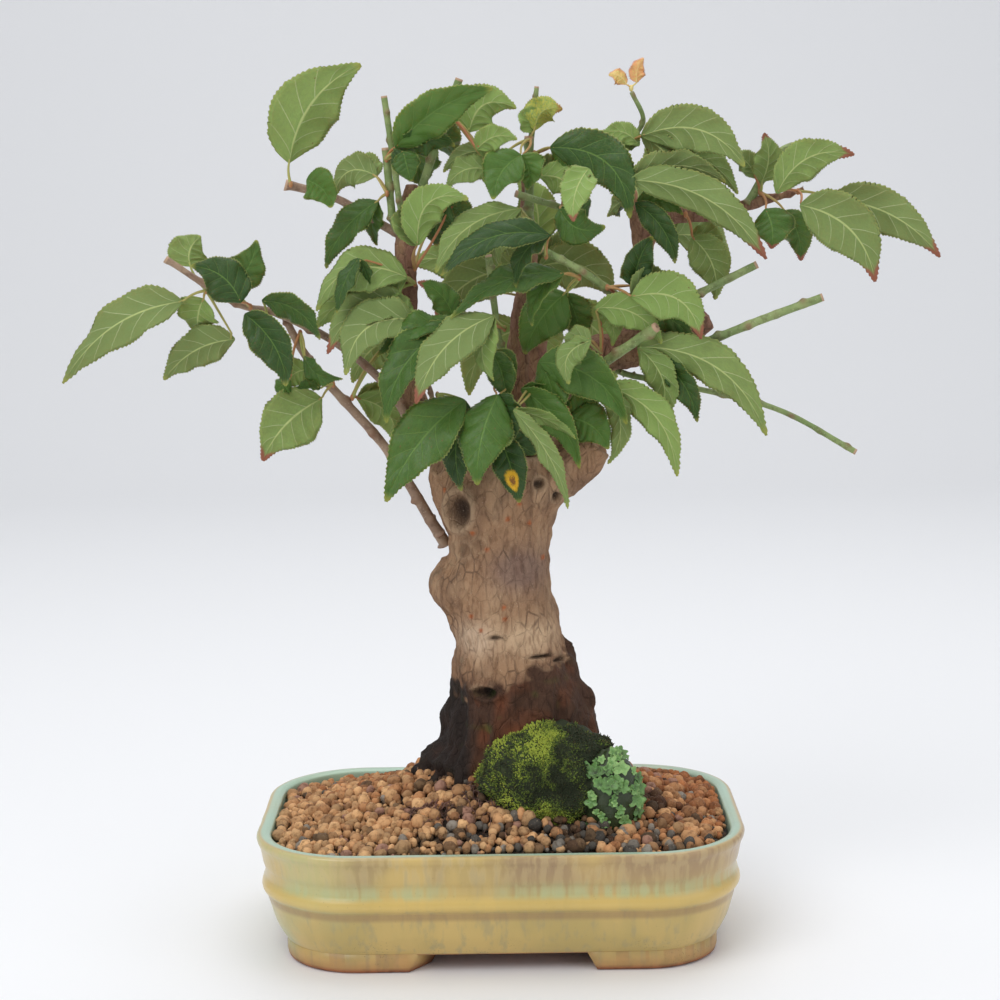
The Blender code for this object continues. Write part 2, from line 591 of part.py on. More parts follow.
def slant_block(name, length, width, bottom, top, along_x):
    """Cutter for the opening between two feet, narrower at its top than at the ground."""
    corners = []
    for z in (bottom, top):
        half = length / 2 - FOOT_SLANT * z
        for a, b in ((-half, -width / 2), (half, -width / 2), (half, width / 2),
                     (-half, width / 2)):
            corners.append((a, b, z) if along_x else (b, a, z))
    faces = [(3, 2, 1, 0), (4, 5, 6, 7), (0, 1, 5, 4), (1, 2, 6, 5), (2, 3, 7, 6), (3, 0, 4, 7)]
    return mesh_object(name, corners, faces)


# Pot: wall lofted from the underside of the floor, round the rim and down to the inner floor
def wall_outline(inset, z):
    ring = rounded_outline(POT_LENGTH - 2 * inset, POT_WIDTH - 2 * inset,
                           max(POT_CORNER - inset, 0.012))
    return np.column_stack([ring, np.full(len(ring), z)])


H = POT_HEIGHT
levels = [
    (FOOT_TAPER + 0.0015, FLOOR_UNDER), (FOOT_TAPER, FLOOR_UNDER + 0.0015),
    (FOOT_TAPER - 0.0045, FLOOR_UNDER + 0.009), (0.0058, BELT_HEIGHT - 0.008),
    (0.0044, BELT_HEIGHT - 0.003), (0.0044 - BELT_PROUD - 0.0004, BELT_HEIGHT - 0.001),
    (0.0040 - BELT_PROUD, BELT_HEIGHT + 0.002), (0.0040, BELT_HEIGHT + 0.006),
    (0.0030, H - 0.014), (0.0012, H - 0.005), (0.0002, H - 0.0035), (0.0, H - 0.002),
    (0.0016, H), (WALL - 0.0018, H), (WALL, H - 0.0018), (WALL + 0.0008, H - 0.012),
    (WALL + 0.005, BELT_HEIGHT - 0.004), (WALL + 0.011, FLOOR_TOP + 0.003),
    (WALL + 0.015, FLOOR_TOP)]
pot = mesh_object("pot", *loft([wall_outline(i, z) for i, z in levels], (0, 0, FLOOR_UNDER),
                               (0, 0, FLOOR_TOP)), GLAZE)
ring = mesh_object("foot_ring", *loft([
    wall_outline(FOOT_TAPER + 0.0030, 0.0), wall_outline(FOOT_TAPER + 0.0008, 0.0012),
    wall_outline(FOOT_TAPER + 0.0008, FLOOR_UNDER + 0.002)]))
core = mesh_object("foot_core", *loft([
    wall_outline(FOOT_TAPER + FOOT_BAND, -0.01), wall_outline(FOOT_TAPER + FOOT_BAND, 0.03)]))
combine(ring, core, "DIFFERENCE")
combine(ring, slant_block("gap_x", FOOT_GAP_LENGTH, 1.0, -0.010, 0.020, True), "DIFFERENCE")
combine(ring, slant_block("gap_y", FOOT_GAP_WIDTH, 1.0, -0.010, 0.020, False), "DIFFERENCE")
for side in (-1, 1):
    bpy.ops.mesh.primitive_cylinder_add(vertices=24, radius=DRAIN_HOLE, depth=0.06,
                                        location=(side * DRAIN_OFFSET, 0, FLOOR_UNDER))
    hole = bpy.context.object
    hole.name = "drain_cut"
    for group in list(hole.users_collection):
        group.objects.unlink(hole)
    combine(pot, hole, "DIFFERENCE")
combine(pot, ring, "UNION")
keep(pot)

# Drain meshes: plastic lattices laid over the drain holes, held down by the soil
for name, side in (("drain_mesh_left", -1), ("drain_mesh_right", 1)):
    bpy.ops.mesh.primitive_grid_add(x_subdivisions=5, y_subdivisions=5, size=MESH_SIZE)
    net = bpy.context.object
    net.name = name
    net.location = (side * DRAIN_OFFSET, 0, FLOOR_TOP + GAP + MESH_WIRE / 2)
    lattice = net.modifiers.new("Lattice", "WIREFRAME")
    lattice.thickness = MESH_WIRE
    lattice.use_boundary = True
    lattice.use_even_offset = False
    net.data.materials.append(NET)
    for group in list(net.users_collection):
        group.objects.unlink(net)
    keep(net)

# Soil: fills the pot with a clearance to the wall, heaped round the root flare
floor = FLOOR_TOP + GAP
rings = []
for inset, z in ((WALL + 0.0155, floor), (WALL + 0.0115, FLOOR_TOP + 0.0035),
                 (WALL + 0.0055, BELT_HEIGHT - 0.004), (WALL + 0.0013, H - 0.0125)):
    rings.append(wall_outline(inset + GAP, z))
edge = wall_outline(WALL + 0.0009 + GAP, 0.0)[:, :2]
for share in (1.0, 0.9, 0.78, 0.64, 0.5, 0.36, 0.22, 0.1):
    here = edge * share + np.array([HEAP_X, HEAP_Y]) * (1 - share)
    rings.append(np.column_stack([here, soil_height(here[:, 0], here[:, 1])]))
crest = (HEAP_X, HEAP_Y, float(soil_height(HEAP_X, HEAP_Y)))
soil_shape = loft(rings, None, crest)
soil = mesh_object("soil", *soil_shape, EARTH)
combine(soil, mesh_object("trunk_room", *loft(trunk_rings(GAP * 2, 24))), "DIFFERENCE")
for side in (-1, 1):
    room = block("mesh_room", (MESH_SIZE + MESH_WIRE + 4 * GAP, MESH_SIZE + MESH_WIRE + 4 * GAP,
                               2 * (MESH_WIRE * 1.3 + 2 * GAP)),
                 (side * DRAIN_OFFSET, 0, FLOOR_TOP + GAP))
    combine(soil, room, "DIFFERENCE")
keep(soil)

# Trunk with its limbs, one growth
trunk = mesh_object("trunk", *loft(trunk_rings()), BARK)
for name, points in LIMBS.items():
    combine(trunk, tube_object(name, points, BARK), "UNION")
keep(trunk)

# Moss against the front of the root flare, liverwort on its right
raised = [(x, y, z + GAP) for x, y, z in soil_shape[0]]


def mound(name, middle, radii, skin, grow=0.0):
    """Rounded lump with a gently uneven surface."""
    bpy.ops.mesh.primitive_uv_sphere_add(segments=24, ring_count=14, radius=1.0)
    lump = bpy.context.object
    lump.name = name
    middle, radii = np.array(middle), np.array(radii) + grow
    for vertex in lump.data.vertices:
        n = np.array(vertex.co)
        wave = 1 + (0.05 * np.sin(5 * n[0] + 2) * np.cos(4 * n[2] + 1) if grow == 0 else 0.05)
        vertex.co = middle + n * radii * wave
    for group in list(lump.users_collection):
        group.objects.unlink(lump)
    lump.data.materials.append(skin)
    return lump


MOSS_PLACE, MOSS_SIZE = (0.026, -0.0305, H + 0.0237), (0.039, 0.026, 0.032)
WORT_PLACE, WORT_SIZE = (0.055, -0.043, H + 0.018), (0.016, 0.015, 0.026)
moss = mound("moss", MOSS_PLACE, MOSS_SIZE, MOSS)
combine(moss, mesh_object("moss_trunk", *loft(trunk_rings(GAP * 2))), "DIFFERENCE")
combine(moss, mesh_object("moss_soil", raised, soil_shape[1]), "DIFFERENCE")
keep(moss)
wort = mound("liverwort", WORT_PLACE, WORT_SIZE, WORT)
combine(wort, mesh_object("wort_trunk", *loft(trunk_rings(GAP * 2))), "DIFFERENCE")
combine(wort, mesh_object("wort_soil", raised, soil_shape[1]), "DIFFERENCE")
combine(wort, mound("wort_moss", MOSS_PLACE, MOSS_SIZE, MOSS, GAP), "DIFFERENCE")
keep(wort)

# Side branches and shoots
WOODY = ("branch_long_left", "branch_middle_left", "twig_upper_left", "dead_twig")
for name, points in BRANCHES.items():
    branch = keep(tube_object(name, points, TWIG if name in WOODY else SHOOT))
    # The lowest branch starts at the trunk's side, however thick the trunk is
    if name == "branch_long_left":
        combine(branch, mesh_object("branch_trunk", *loft(trunk_rings(GAP * 2))), "DIFFERENCE")

# Leaf sprays
for name, (home, rows) in settle().items():
    skin = YOUNG if name == "leaves_young" else LEAF
    bpy.ops.mesh.primitive_ico_sphere_add(subdivisions=1, radius=BUD, location=tuple(home))
    spray = bpy.context.object
    spray.name = name
    for group in list(spray.users_collection):
        group.objects.unlink(spray)
    spray.data.materials.append(skin)
    for number, (leaf, shift) in enumerate(rows):
        if shift is None:
            print("no room for leaf", number, "of", name)
            continue
        rings, tip = leaf_rings(home, leaf, shift)
        combine(spray, mesh_object(name + "_blade", *leaf_shape(rings, tip), skin), "UNION")
    keep(spray)
print("nodes", len(parts.objects))
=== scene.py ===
"""Looks of a broadleaf bonsai in a glazed rectangular pot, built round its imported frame."""

import bmesh
import bpy
import numpy as np
from bpy.props import FloatProperty, FloatVectorProperty, IntProperty, PointerProperty
from mathutils import Matrix, Vector
from mathutils.bvhtree import BVHTree


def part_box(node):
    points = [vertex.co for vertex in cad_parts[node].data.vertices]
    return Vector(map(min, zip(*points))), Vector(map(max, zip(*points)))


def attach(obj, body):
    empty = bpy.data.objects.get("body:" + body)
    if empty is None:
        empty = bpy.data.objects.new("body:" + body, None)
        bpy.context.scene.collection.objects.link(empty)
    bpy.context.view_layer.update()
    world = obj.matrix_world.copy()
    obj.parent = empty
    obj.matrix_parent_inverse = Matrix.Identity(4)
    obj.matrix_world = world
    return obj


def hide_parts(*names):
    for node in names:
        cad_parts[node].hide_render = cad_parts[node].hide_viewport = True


bl_info = {
    "name": "Bonsai in a glazed pot",
    "version": (1, 0, 0),
    "blender": (4, 5, 0),
    "location": "View3D > Sidebar > Bonsai",
    "description": "Builds the pot, soil, moss, trunk, shoots and leaves of a bonsai",
    "category": "Add Mesh",
}

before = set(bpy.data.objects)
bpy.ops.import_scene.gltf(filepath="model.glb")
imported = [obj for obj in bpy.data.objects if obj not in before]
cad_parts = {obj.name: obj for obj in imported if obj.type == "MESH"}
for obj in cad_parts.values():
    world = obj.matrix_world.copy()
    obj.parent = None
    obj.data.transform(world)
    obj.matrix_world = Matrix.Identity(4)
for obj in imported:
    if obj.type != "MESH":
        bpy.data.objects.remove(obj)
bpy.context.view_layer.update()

MM = 0.001
POT_LOW, POT_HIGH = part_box("pot")
POT_LENGTH = POT_HIGH[0] - POT_LOW[0]
POT_WIDTH = POT_HIGH[1] - POT_LOW[1]
POT_HEIGHT = POT_HIGH[2]
POT_CORNER = 0.052
WALL = 0.0075
TIGHTEST = 0.012              # smallest corner of an outline set far in
POT_ROWS, POT_COLUMNS = 130, 240
FLOOR_TOP = 0.018
FLOOR_UNDER = 0.009
BELT_HEIGHT = 0.037
FOOT_TAPER = 0.0135
FOOT_BAND = 0.020
FOOT_GAP_LENGTH = 0.095
FOOT_GAP_WIDTH = 0.062
FOOT_SLANT = 0.55
DRAIN_HOLE = 0.009
DRAIN_OFFSET = 0.058
MESH_SIZE = 0.028
FINE_ROOTS = 54
SOIL_DROP = 0.006
SOIL_RISE = 0.043
HEAP_X, HEAP_Y = 0.010, 0.002
HEAP_LENGTH, HEAP_WIDTH = 0.072, 0.054
GAP = 0.0003
TRUNK_SCALE = 1.0
ROOTING = 0.045
LIMB_SCALE = 1.0
LEAF_SCALE = 1.0
BUD = 0.0013
PETIOLE = 0.0007
BLADE = 0.00035
LEAF_FOLD = np.radians(24)     # each half of a blade stands up from the midrib by this
WALL_CLEAR = 0.0012            # how far a blade keeps from the wood
LEAF_CLEAR = (0.0011, 0.0009)  # a leaf thickened and widened by this misses the other leaves
STALK_BOW = 0.35              # rise of a leaf stalk, as a share of its length

# The plant is set out as its front elevation, in millimetres across and up, as it is seen
# from a viewing distance a little above the crown's middle; depth is measured back from the
# upright plane through the middle of the pot.
SIGHT_MIDDLE = np.array([2.0, 0.0, 228.0])
SIGHT_DISTANCE = 1150.0
LENS, SENSOR = 80.1, 36.0
SIGHT_FALL = np.radians(8.4)
SIGHT_LEAN = np.radians(-0.8)
SIGHT_RISE = 0.99             # how much of a height set out is taken
SET_OUT_RIM = 0.064          # rim height for which the elevation is set out

FORWARD = np.array([0.0, np.cos(SIGHT_FALL), -np.sin(SIGHT_FALL)])
LEVEL = np.array([1.0, 0.0, 0.0])
RISING = np.array([0.0, np.sin(SIGHT_FALL), np.cos(SIGHT_FALL)])
RIGHT = LEVEL * np.cos(SIGHT_LEAN) + RISING * np.sin(SIGHT_LEAN)
UPRIGHT = RISING * np.cos(SIGHT_LEAN) - LEVEL * np.sin(SIGHT_LEAN)
EYE = SIGHT_MIDDLE - FORWARD * SIGHT_DISTANCE
TUBE_HINT = [0.13, 0.97, 0.21]    # no piece of wood runs along this direction


def lay(across, up, depth):
    """Point in metres of a place in the front elevation, given in millimetres."""
    aside, above = RIGHT * (across - SIGHT_MIDDLE[0]), UPRIGHT * (up - SIGHT_MIDDLE[2])
    ray = FORWARD * SIGHT_DISTANCE + aside + above * SIGHT_RISE
    point = (EYE + ray * (depth - EYE[1]) / ray[1]) * MM
    point[2] += POT_HEIGHT - SET_OUT_RIM
    return point


TRUNK = [
    (66, -50, 64, 44, 4), (84, -42, 58, 40, 3), (98, -34, 53, 36, 2), (112, -27, 50, 33, 1),
    (126, -21, 47, 30, 0), (142, -24, 40, 28, 0), (155, -22, 34, 27, 0), (167, -26, 31, 27, 0),
    (180, -34, 28, 27, 0), (188, -33, 28, 26, 0), (200, -24, 27, 25, 0), (214, -25, 27, 25, 0),
    (230, -34, 33, 26, 0), (240, -36, 37, 25, 0), (250, -34, 32, 21, 1), (260, -29, 25, 14, 2)]

# Wood: across, up, depth and radius of each point. The limbs are one growth with the trunk.
LIMBS = {
    "left_limb": [(-18, 236, 2, 12), (-29, 259, 2, 9.5), (-43, 280, 0, 7), (-49.5, 309, -2, 6),
                  (-46, 332, -3, 5.2), (-47, 364, -4, 5.4), (-43.5, 393, -4, 4.2)],
    "centre_limb": [(8, 236, 4, 11), (10, 262, 6, 8), (10.5, 291, 8, 6.5), (12.5, 322, 9, 5),
                    (16.5, 353, 10, 4.5), (15.5, 384, 9, 3.6), (15, 408, 8, 3)],
    "right_limb": [(14, 240, 0, 13), (25, 278, 0, 11.5), (43, 300, -2, 10.5), (62, 306, -4, 10),
                   (80, 310, -6, 9.5), (97, 315, -8, 7.5), (110, 323, -9, 6.2)],
    "broken_stub": [(24, 236, -4, 14), (42, 249, -9, 12), (52, 258, -11, 9)],
    "crown_limb": [(72, 310, -2, 8), (74.5, 330, 2, 6), (74.5, 353, 4, 5), (84, 375, 4, 4.6),
                   (105, 377, 3, 4), (129, 382, 0, 3.4), (160, 390.5, -4, 2.6)],
    "crown_shoot": [(75, 345, 4, 3.5), (72, 372, 4, 2.6), (66.5, 409, 4, 2.0)],
    "shoot_left_a": [(-48, 366, -5, 3.0), (-53.5, 376, -11, 2.1), (-57, 412, -12, 2.1)],
    "shoot_centre_low": [(10, 298, 8, 3.0), (2.5, 308, 1, 1.9), (-1, 330, -4, 1.8), (-4, 356, -5, 1.8)],
    "shoot_centre_up": [(16.3, 370, 9, 3.0), (17, 382, 2, 2.4), (17, 418, -2, 2.4)],
    "shoot_centre_tip": [(16, 405, 6, 2.4), (19, 423, -3, 1.4), (21, 444, -4, 1.2)],
    "shoot_top_right": [(130, 382, -0.5, 2.6), (145, 408, 2, 1.9), (157, 414, 3, 2.0)],
    "shoot_top": [(104, 377, 3, 3.0), (106, 396, 8, 2.1), (112, 428, 14, 2.0)],
    "back_limb": [(10, 250, 10, 9), (14, 285, 26, 7), (24, 322, 40, 5), (20, 358, 48, 3.6)],
}
BRANCHES = {
    "branch_long_left": [(-33.5, 217, 4, 3.0), (-46, 238, 0, 2.7), (-60, 259, -5, 2.5),
                         (-86, 288, -10, 2.3), (-100, 306, -12, 2.2), (-110, 325, -14, 1.8)],
    "branch_middle_left": [(-46.5, 272, -8, 2.3), (-57, 288, -13, 2.2), (-81, 309, -16, 2.1),
                           (-112, 325, -18, 2.0), (-135, 331, -21, 1.7), (-171, 354, -25, 1.6)],
    "twig_upper_left": [(-54.2, 369, -5, 2.4), (-68, 377, -6, 2.2), (-84, 386, -8, 2.1),
                        (-109, 393, -10, 2.3)],
    "dead_twig": [(-33.5, 283, -12, 1.3), (-32, 268, -16, 1.1), (-30, 252, -27.5, 1.2)],
    "shoot_left_b": [(-49.8, 383, -16.5, 1.7), (-54, 412, -16, 1.6), (-58, 439, -17, 1.6)],
    "shoot_left_c": [(-41.5, 381, -11.5, 2.2), (-31, 414, -16, 2.1), (-19, 448, -18, 2.0)],
    "shoot_front_top": [(33, 381, -10, 1.7), (10, 388, -16, 1.8)],
    "shoot_front": [(68, 331, -14, 2.0), (45, 347, -27, 1.9), (23, 359, -32, 2.0)],
    "shoot_low": [(46, 293, -16.5, 2.6), (83, 318.5, -38, 2.5)],
    "shoot_right_a": [(105, 336, -8, 2.1), (135, 351, -12, 2.0)],
    "shoot_right_b": [(106, 309.5, -21, 2.3), (137, 322, -26, 2.2), (169, 334, -29, 2.1)],
    "twig_right_low": [(70, 293, -3, 1.6), (95, 288, -4, 1.5), (145, 275.5, -8, 1.4),
                       (186, 253, -12, 1.5)],
    "shoot_young": [(67.5, 413.8, 2, 1.4), (76, 426, 0, 1.3), (70, 441, -2, 1.1)],
}

# Leaf sprays: place of the bud, then each leaf as the foot of its blade (across, up, depth),
# its tip (across, up, depth), bow of the midrib, breadth, turn about the midrib in degrees
# and the side it turns to the front: 1 the dark upper side, -1 the pale underside.
SPRAYS = {
    "leaves_far_left": ((-150, 337, -20), [
        (-162, 331.5, -24, -224, 288, -6, 9, 26, 18, -1),
        (-151, 333, -18, -153, 312, -8, 2, 23, 10, -1),
        (-135, 312, -14, -172, 290, -10, 5, 22, -25, -1),
        (-158, 350, -22, -152, 366, -14, 3, 22, 15, -1)]),
    "leaves_mint_left": ((-127, 329, -22), [
        (-132, 331, -34, -158, 350, -38, 5, 24, 15, 1),
        (-137, 339, -26, -124, 364, -20, -3, 19, 25, 1)]),
    "leaves_bitten_left": ((-118, 325, -20), [
        (-130, 325, -34, -108, 287, -40, 5, 24, 10, 1),
        (-121, 332, -26, -91, 311, -32, 6, 15, 30, 1)]),
    "leaves_low_left": ((-85, 288, -12), [
        (-90, 281, -16, -121, 248, -24, 4, 30, -15, -1),
        (-91, 286, -22, -103, 285, -26, 2, 9, 30, 1)]),
    "leaves_left_inner": ((-76, 280, -8), [
        (-72, 281, -2, -53, 253, 4, 9, 20, 10, -1),
        (-50, 314, 4, -74, 289, 8, 5, 24, 10, -1)]),
    "leaves_left_small": ((-104, 314, -13), [
        (-99, 303, -22, -79, 293, -26, -5, 12, 40, 1),
        (-97, 296, -10, -110, 285, -6, 3, 16, 15, -1),
        (-106, 290, -18, -114, 284, -18, 1, 10, 20, 1)]),
    "leaves_arch_left": ((-42, 341, -9), [
        (-46, 344, -22, -94, 326, -34, 13, 26, 22, -1),
        (-58, 332, -8, -93, 317, -6, 7, 22, 10, -1),
        (-71, 354, -32, -82, 325, -40, 2, 11, 35, 1)]),
    "leaves_pale_left": ((-40, 324, -10), [
        (-42, 322, -28, -77, 292, -44, 12, 25, 20, -1),
        (-44, 329, -14, -87, 303, -20, 11, 20, 15, -1)]),
    "leaves_dark_left": ((-20, 320, -2), [
        (-21, 319, -34, -57, 267, -50, 9, 25, 25, 1),
        (-22, 322, -16, -41, 342, -22, 4, 15, 20, 1)]),
    "leaves_front_pale": ((3, 317, 0), [
        (-1, 324, -46, -41, 277, -62, 8, 24, 20, -1)]),
    "leaves_front_long": ((-12, 284, -8), [
        (-16, 280, -36, -57, 226, -54, 5, 31, 15, 1)]),
    "leaves_tall_left": ((-106, 393.5, -14), [
        (-107, 404, -14, -69, 456, -22, 8, 36, 28, -1)]),
    "leaves_bright_left": ((-97, 390, -14), [
        (-98, 395, -22, -85, 380, -28, 3, 22, 5, 1)]),
    "leaves_high_left": ((-56, 388, -14), [
        (-62, 397, -12, -84, 386, -6, 8, 19, 15, -1),
        (-61, 384, -12, -89, 348, -8, 4, 17, 20, 1)]),
    "leaves_top_left": ((-56, 406, -16), [
        (-52, 412, -24, -1, 443, -34, 5, 26, 25, 1),
        (-48, 410, -32, -44, 394, -36, 0, 15, 10, 1),
        (-35, 421, -8, -36, 391, 6, 5, 28, 10, 1)]),
    "leaves_limb_left": ((-41, 349, -10), [
        (-40.5, 361, -28, -13, 385, -44, 12, 21, 15, -1),
        (-24, 382, -2, -31, 360, 8, 3, 21, 15, 1)]),
    "leaves_crown_left": ((-24, 428, -18), [
        (-14, 420, -14, 11, 432, -10, 9, 24, 20, -1),
        (-10, 411, -26, 11, 416, -32, 4, 13, 15, -1),
        (-3, 400, -20, -26, 390, -26, 5, 15, 15, -1)]),
    "leaves_crown_yellow": ((18, 416, -2), [
        (20, 421, 6, 34, 432, 10, 5, 20, 10, -1),
        (3, 407, -14, -28, 399, -22, 6, 13, 15, -1),
        (13, 408, -28, -1, 384, -38, 4, 22, 10, 1)]),
    "leaves_crown_arch": ((19, 409, -3), [
        (28, 412, -18, 69, 374, -30, 13, 25, 12, 1),
        (22, 397, -16, 40, 382, -20, 6, 18, 15, -1)]),
    "leaves_crown_bowl": ((32, 381, -10), [
        (48, 401, -34, 40, 373, -44, 3, 16, 10, -1),
        (33, 380, -24, 57, 371, -30, -6, 19, 20, 1)]),
    "leaves_mid_upper": ((17, 375, 4), [
        (13, 380, -30, -32, 346, -44, 8, 21, 18, -1)]),
    "leaves_mid_middle": ((26, 357, -32), [
        (28, 366, -48, -29, 344, -58, 9, 18, 25, 1)]),
    "leaves_mid_lower": ((44, 345, -26), [
        (35, 346, -36, -23, 321, -46, 8, 17, 30, 1),
        (36, 336, -16, 14, 303, -8, 3, 25, 10, 1)]),
    "leaves_fork_right": ((54, 305, -16), [
        (49, 311, -42, 38, 288, -48, 7, 15, 15, -1),
        (51, 328, -22, 86, 309, -28, 7, 17, 20, -1)]),
    "leaves_front_dark": ((1, 290, -2), [
        (-2, 305, -22, 5, 279, -30, 2, 18, 10, 1),
        (1, 283, -40, -10, 235, -54, 3, 27, 10, 1),
        (2, 261, -34, 12, 226, -42, 1, 19, 8, 1)]),
    "leaves_front_right": ((16, 288, -8), [
        (9, 275, -50, 38, 223, -58, 4, 12, 35, -1),
        (13, 286, -24, 44, 244, -36, 5, 17, 20, 1)]),
    "leaves_middle_right": ((30, 292, -12), [
        (22, 300, -34, 68, 267, -44, 9, 26, 12, 1),
        (38, 271, -20, 58, 254, -26, 4, 21, 10, 1)]),
    "leaves_right_low": ((56, 298, -16), [
        (55, 288, -26, 93, 239, -36, 11, 20, 22, -1)]),
    "leaves_crown_right": ((66, 411, 1), [
        (75, 418, -14, 129, 401, -28, 11, 24, 12, -1),
        (74, 413, -6, 52, 417, -2, 5, 11, 15, -1)]),
    "leaves_crown_far": ((104, 392, 5), [
        (90, 409, -2, 125, 387, -10, 6, 18, 15, -1)]),
    "leaves_long_right": ((70, 391, 0), [
        (69, 395, -36, 140, 352, -52, 11, 26, 20, -1),
        (72, 383, -18, 93, 351, -26, 4, 17, 15, 1)]),
    "leaves_inner_right": ((64, 335, -24), [
        (70, 334, -34, 106, 311, -40, 11, 24, 14, -1),
        (71, 340, -28, 81, 366, -34, 2, 21, 5, 1),
        (67, 328, -16, 102, 311, -20, 5, 21, 10, 1)]),
    "leaves_behind_right": ((98, 377, 4), [
        (101, 365, 12, 113, 332, 16, 5, 20, 10, -1)]),
    "leaves_lower_right": ((74, 304, -18), [
        (73, 308, -34, 140, 260, -50, 14, 24, 18, -1),
        (84, 302, -24, 104, 268, -28, 4, 15, 25, 1)]),
    "leaves_end_upper": ((137, 386, -2), [
        (137, 394, -8, 138, 420, -16, 3, 17, 20, -1),
        (134, 396, 4, 119, 409, 10, 3, 12, 15, -1),
        (139, 380, -20, 142, 359, -26, 2, 23, 5, 1),
        (149, 379, -12, 157, 352, -8, 3, 16, 15, 1)]),
    "leaves_end_right": ((156, 389, -7), [
        (145, 388, -22, 186, 408, -26, 9, 21, 15, -1),
        (157, 382, -28, 196, 341, -34, 9, 28, 12, -1),
        (172, 385, -10, 230, 354, -32, 7, 24, 12, -1)]),
    "leaves_young": ((70, 442.5, -2), [
        (67, 445, -4, 58, 450, -6, 2, 9, 15, -1),
        (73, 446, -3, 77, 459, -3, 2, 8, 15, -1)]),
    "leaves_back_a": ((22, 345, 44), [
        (22, 350, 54, 62, 330, 74, 10, 28, 20, -1),
        (14, 348, 54, -32, 318, 72, 10, 28, -20, -1),
        (20, 362, 52, 10, 398, 60, 6, 26, 10, -1)]),
    "leaves_back_b": ((24, 328, 44), [
        (34, 326, 52, 60, 288, 68, 10, 28, 20, -1),
        (16, 318, 56, -14, 282, 70, 10, 28, -20, -1),
        (2, 336, 50, -50, 350, 56, 10, 26, 15, -1)]),
    "leaves_back_c": ((86, 372, 12), [
        (92, 366, 30, 120, 340, 62, 10, 28, -15, -1),
        (74, 380, 26, 52, 398, 56, 8, 26, 15, -1),
        (84, 392, 20, 104, 412, 40, 8, 24, 15, -1)]),
}


# ---- Directions, grids and tubes ----------------------------------------------------

def unit(vectors):
    """The same directions, each made one unit long."""
    return vectors / np.linalg.norm(vectors, axis=-1, keepdims=True)


def direction(turn, tilt):
    """Unit directions at an angle round the upright axis and an angle down from it."""
    turn, tilt = np.broadcast_arrays(turn, tilt)
    return np.stack([np.sin(tilt) * np.cos(turn), np.sin(tilt) * np.sin(turn), np.cos(tilt)], -1)


def square_to(way, hint):
    """Two directions square to a way and to each other, the first also square to a hint."""
    side = unit(np.cross(way, hint))
    return side, np.cross(way, side)


def grid_faces(rows, columns, wrap=True):
    """Quads of a grid of rows and columns, its columns joined round if wrapped."""
    row = np.arange(rows - 1)[:, None] * columns
    column = np.arange(columns if wrap else columns - 1)[None, :]
    ahead = (column + 1) % columns
    faces = [row + column, row + ahead, row + columns + ahead, row + columns + column]
    return np.stack(np.broadcast_arrays(*faces), -1).reshape(-1, 4)


def tube_grid(line, radii, sides):
    """Rings carried along a line, each square to it and as wide as the radius there."""
    side, other = square_to(unit(np.gradient(line, axis=0)), TUBE_HINT)
    angle = np.linspace(0, 2 * np.pi, sides, endpoint=False)[None, :, None]
    circle = np.cos(angle) * side[:, None] + np.sin(angle) * other[:, None]
    return line[:, None] + circle * np.asarray(radii)[:, None, None]


def loft(rings):
    """Closed body through rings of equal count, each end a flat cap."""
    count = len(rings[0])
    vertices = [tuple(p) for ring in rings for p in ring]
    faces = [tuple(face) for face in grid_faces(len(rings), count).tolist()]
    last = (len(rings) - 1) * count
    return vertices, faces + [tuple(range(count))[::-1], tuple(range(last, last + count))]


def leaf_shape(rings, tip):
    """Closed leaf in triangles whose diagonals match on both sides, so the sides never cross."""
    vertices = [tuple(p) for ring in rings for p in ring] + [tuple(tip)]
    faces = [(0, 2, 1), (0, 3, 2)]
    for level in range(len(rings) - 1):
        a, b = 4 * level, 4 * level + 4
        for i in range(4):
            j = (i + 1) % 4
            if i % 2 == 0:
                faces += [(a + i, a + j, b + j), (a + i, b + j, b + i)]
            else:
                faces += [(a + i, a + j, b + i), (a + j, b + j, b + i)]
    last = 4 * len(rings) - 4
    faces += [(last + i, last + (i + 1) % 4, last + 4) for i in range(4)]
    return vertices, faces


def tube_rings(points, extra=0.0, sides=12, scale=1.0):
    """Rings round a tapering tube through laid-out points, widened by extra."""
    line = np.array([lay(a, u, d) for a, u, d, r in points])
    return tube_grid(line, np.array([r * MM * scale for a, u, d, r in points]) + extra, sides)


def trunk_rings(extra=0.0, sides=24):
    """Rings of the trunk: ovals with a few shallow lobes that twist slowly with height."""
    rings = []
    for number, (up, left, right, half_depth, depth) in enumerate(TRUNK):
        middle = lay((left + right) / 2, up, depth)
        across = (right - left) / 2 * MM * TRUNK_SCALE
        deep = half_depth * MM * TRUNK_SCALE
        angle = np.linspace(0, 2 * np.pi, sides, endpoint=False)
        lobes = 1 + 0.035 * np.sin(3 * angle + number * 0.35) * np.abs(np.sin(angle))
        ring = np.column_stack([across * np.cos(angle), deep * np.sin(angle) * lobes])
        grow = extra / np.linalg.norm(ring, axis=1)[:, None] + 1
        ring = ring * grow
        sunk = ROOTING * max(TRUNK_SCALE - 1, 0)
        ends = {0: -extra - sunk, len(TRUNK) - 1: extra}
        level = np.full(sides, middle[2] + ends.get(number, 0.0))
        rings.append(np.column_stack([middle[0] + ring[:, 0], middle[1] + ring[:, 1], level]))
    return rings


def soil_height(x, y):
    """Height of the soil: level along the wall, heaped up round the root flare."""
    reach = ((x - HEAP_X) / HEAP_LENGTH) ** 2 + ((y - HEAP_Y) / HEAP_WIDTH) ** 2
    return POT_HEIGHT - SOIL_DROP + SOIL_RISE * np.exp(-reach)


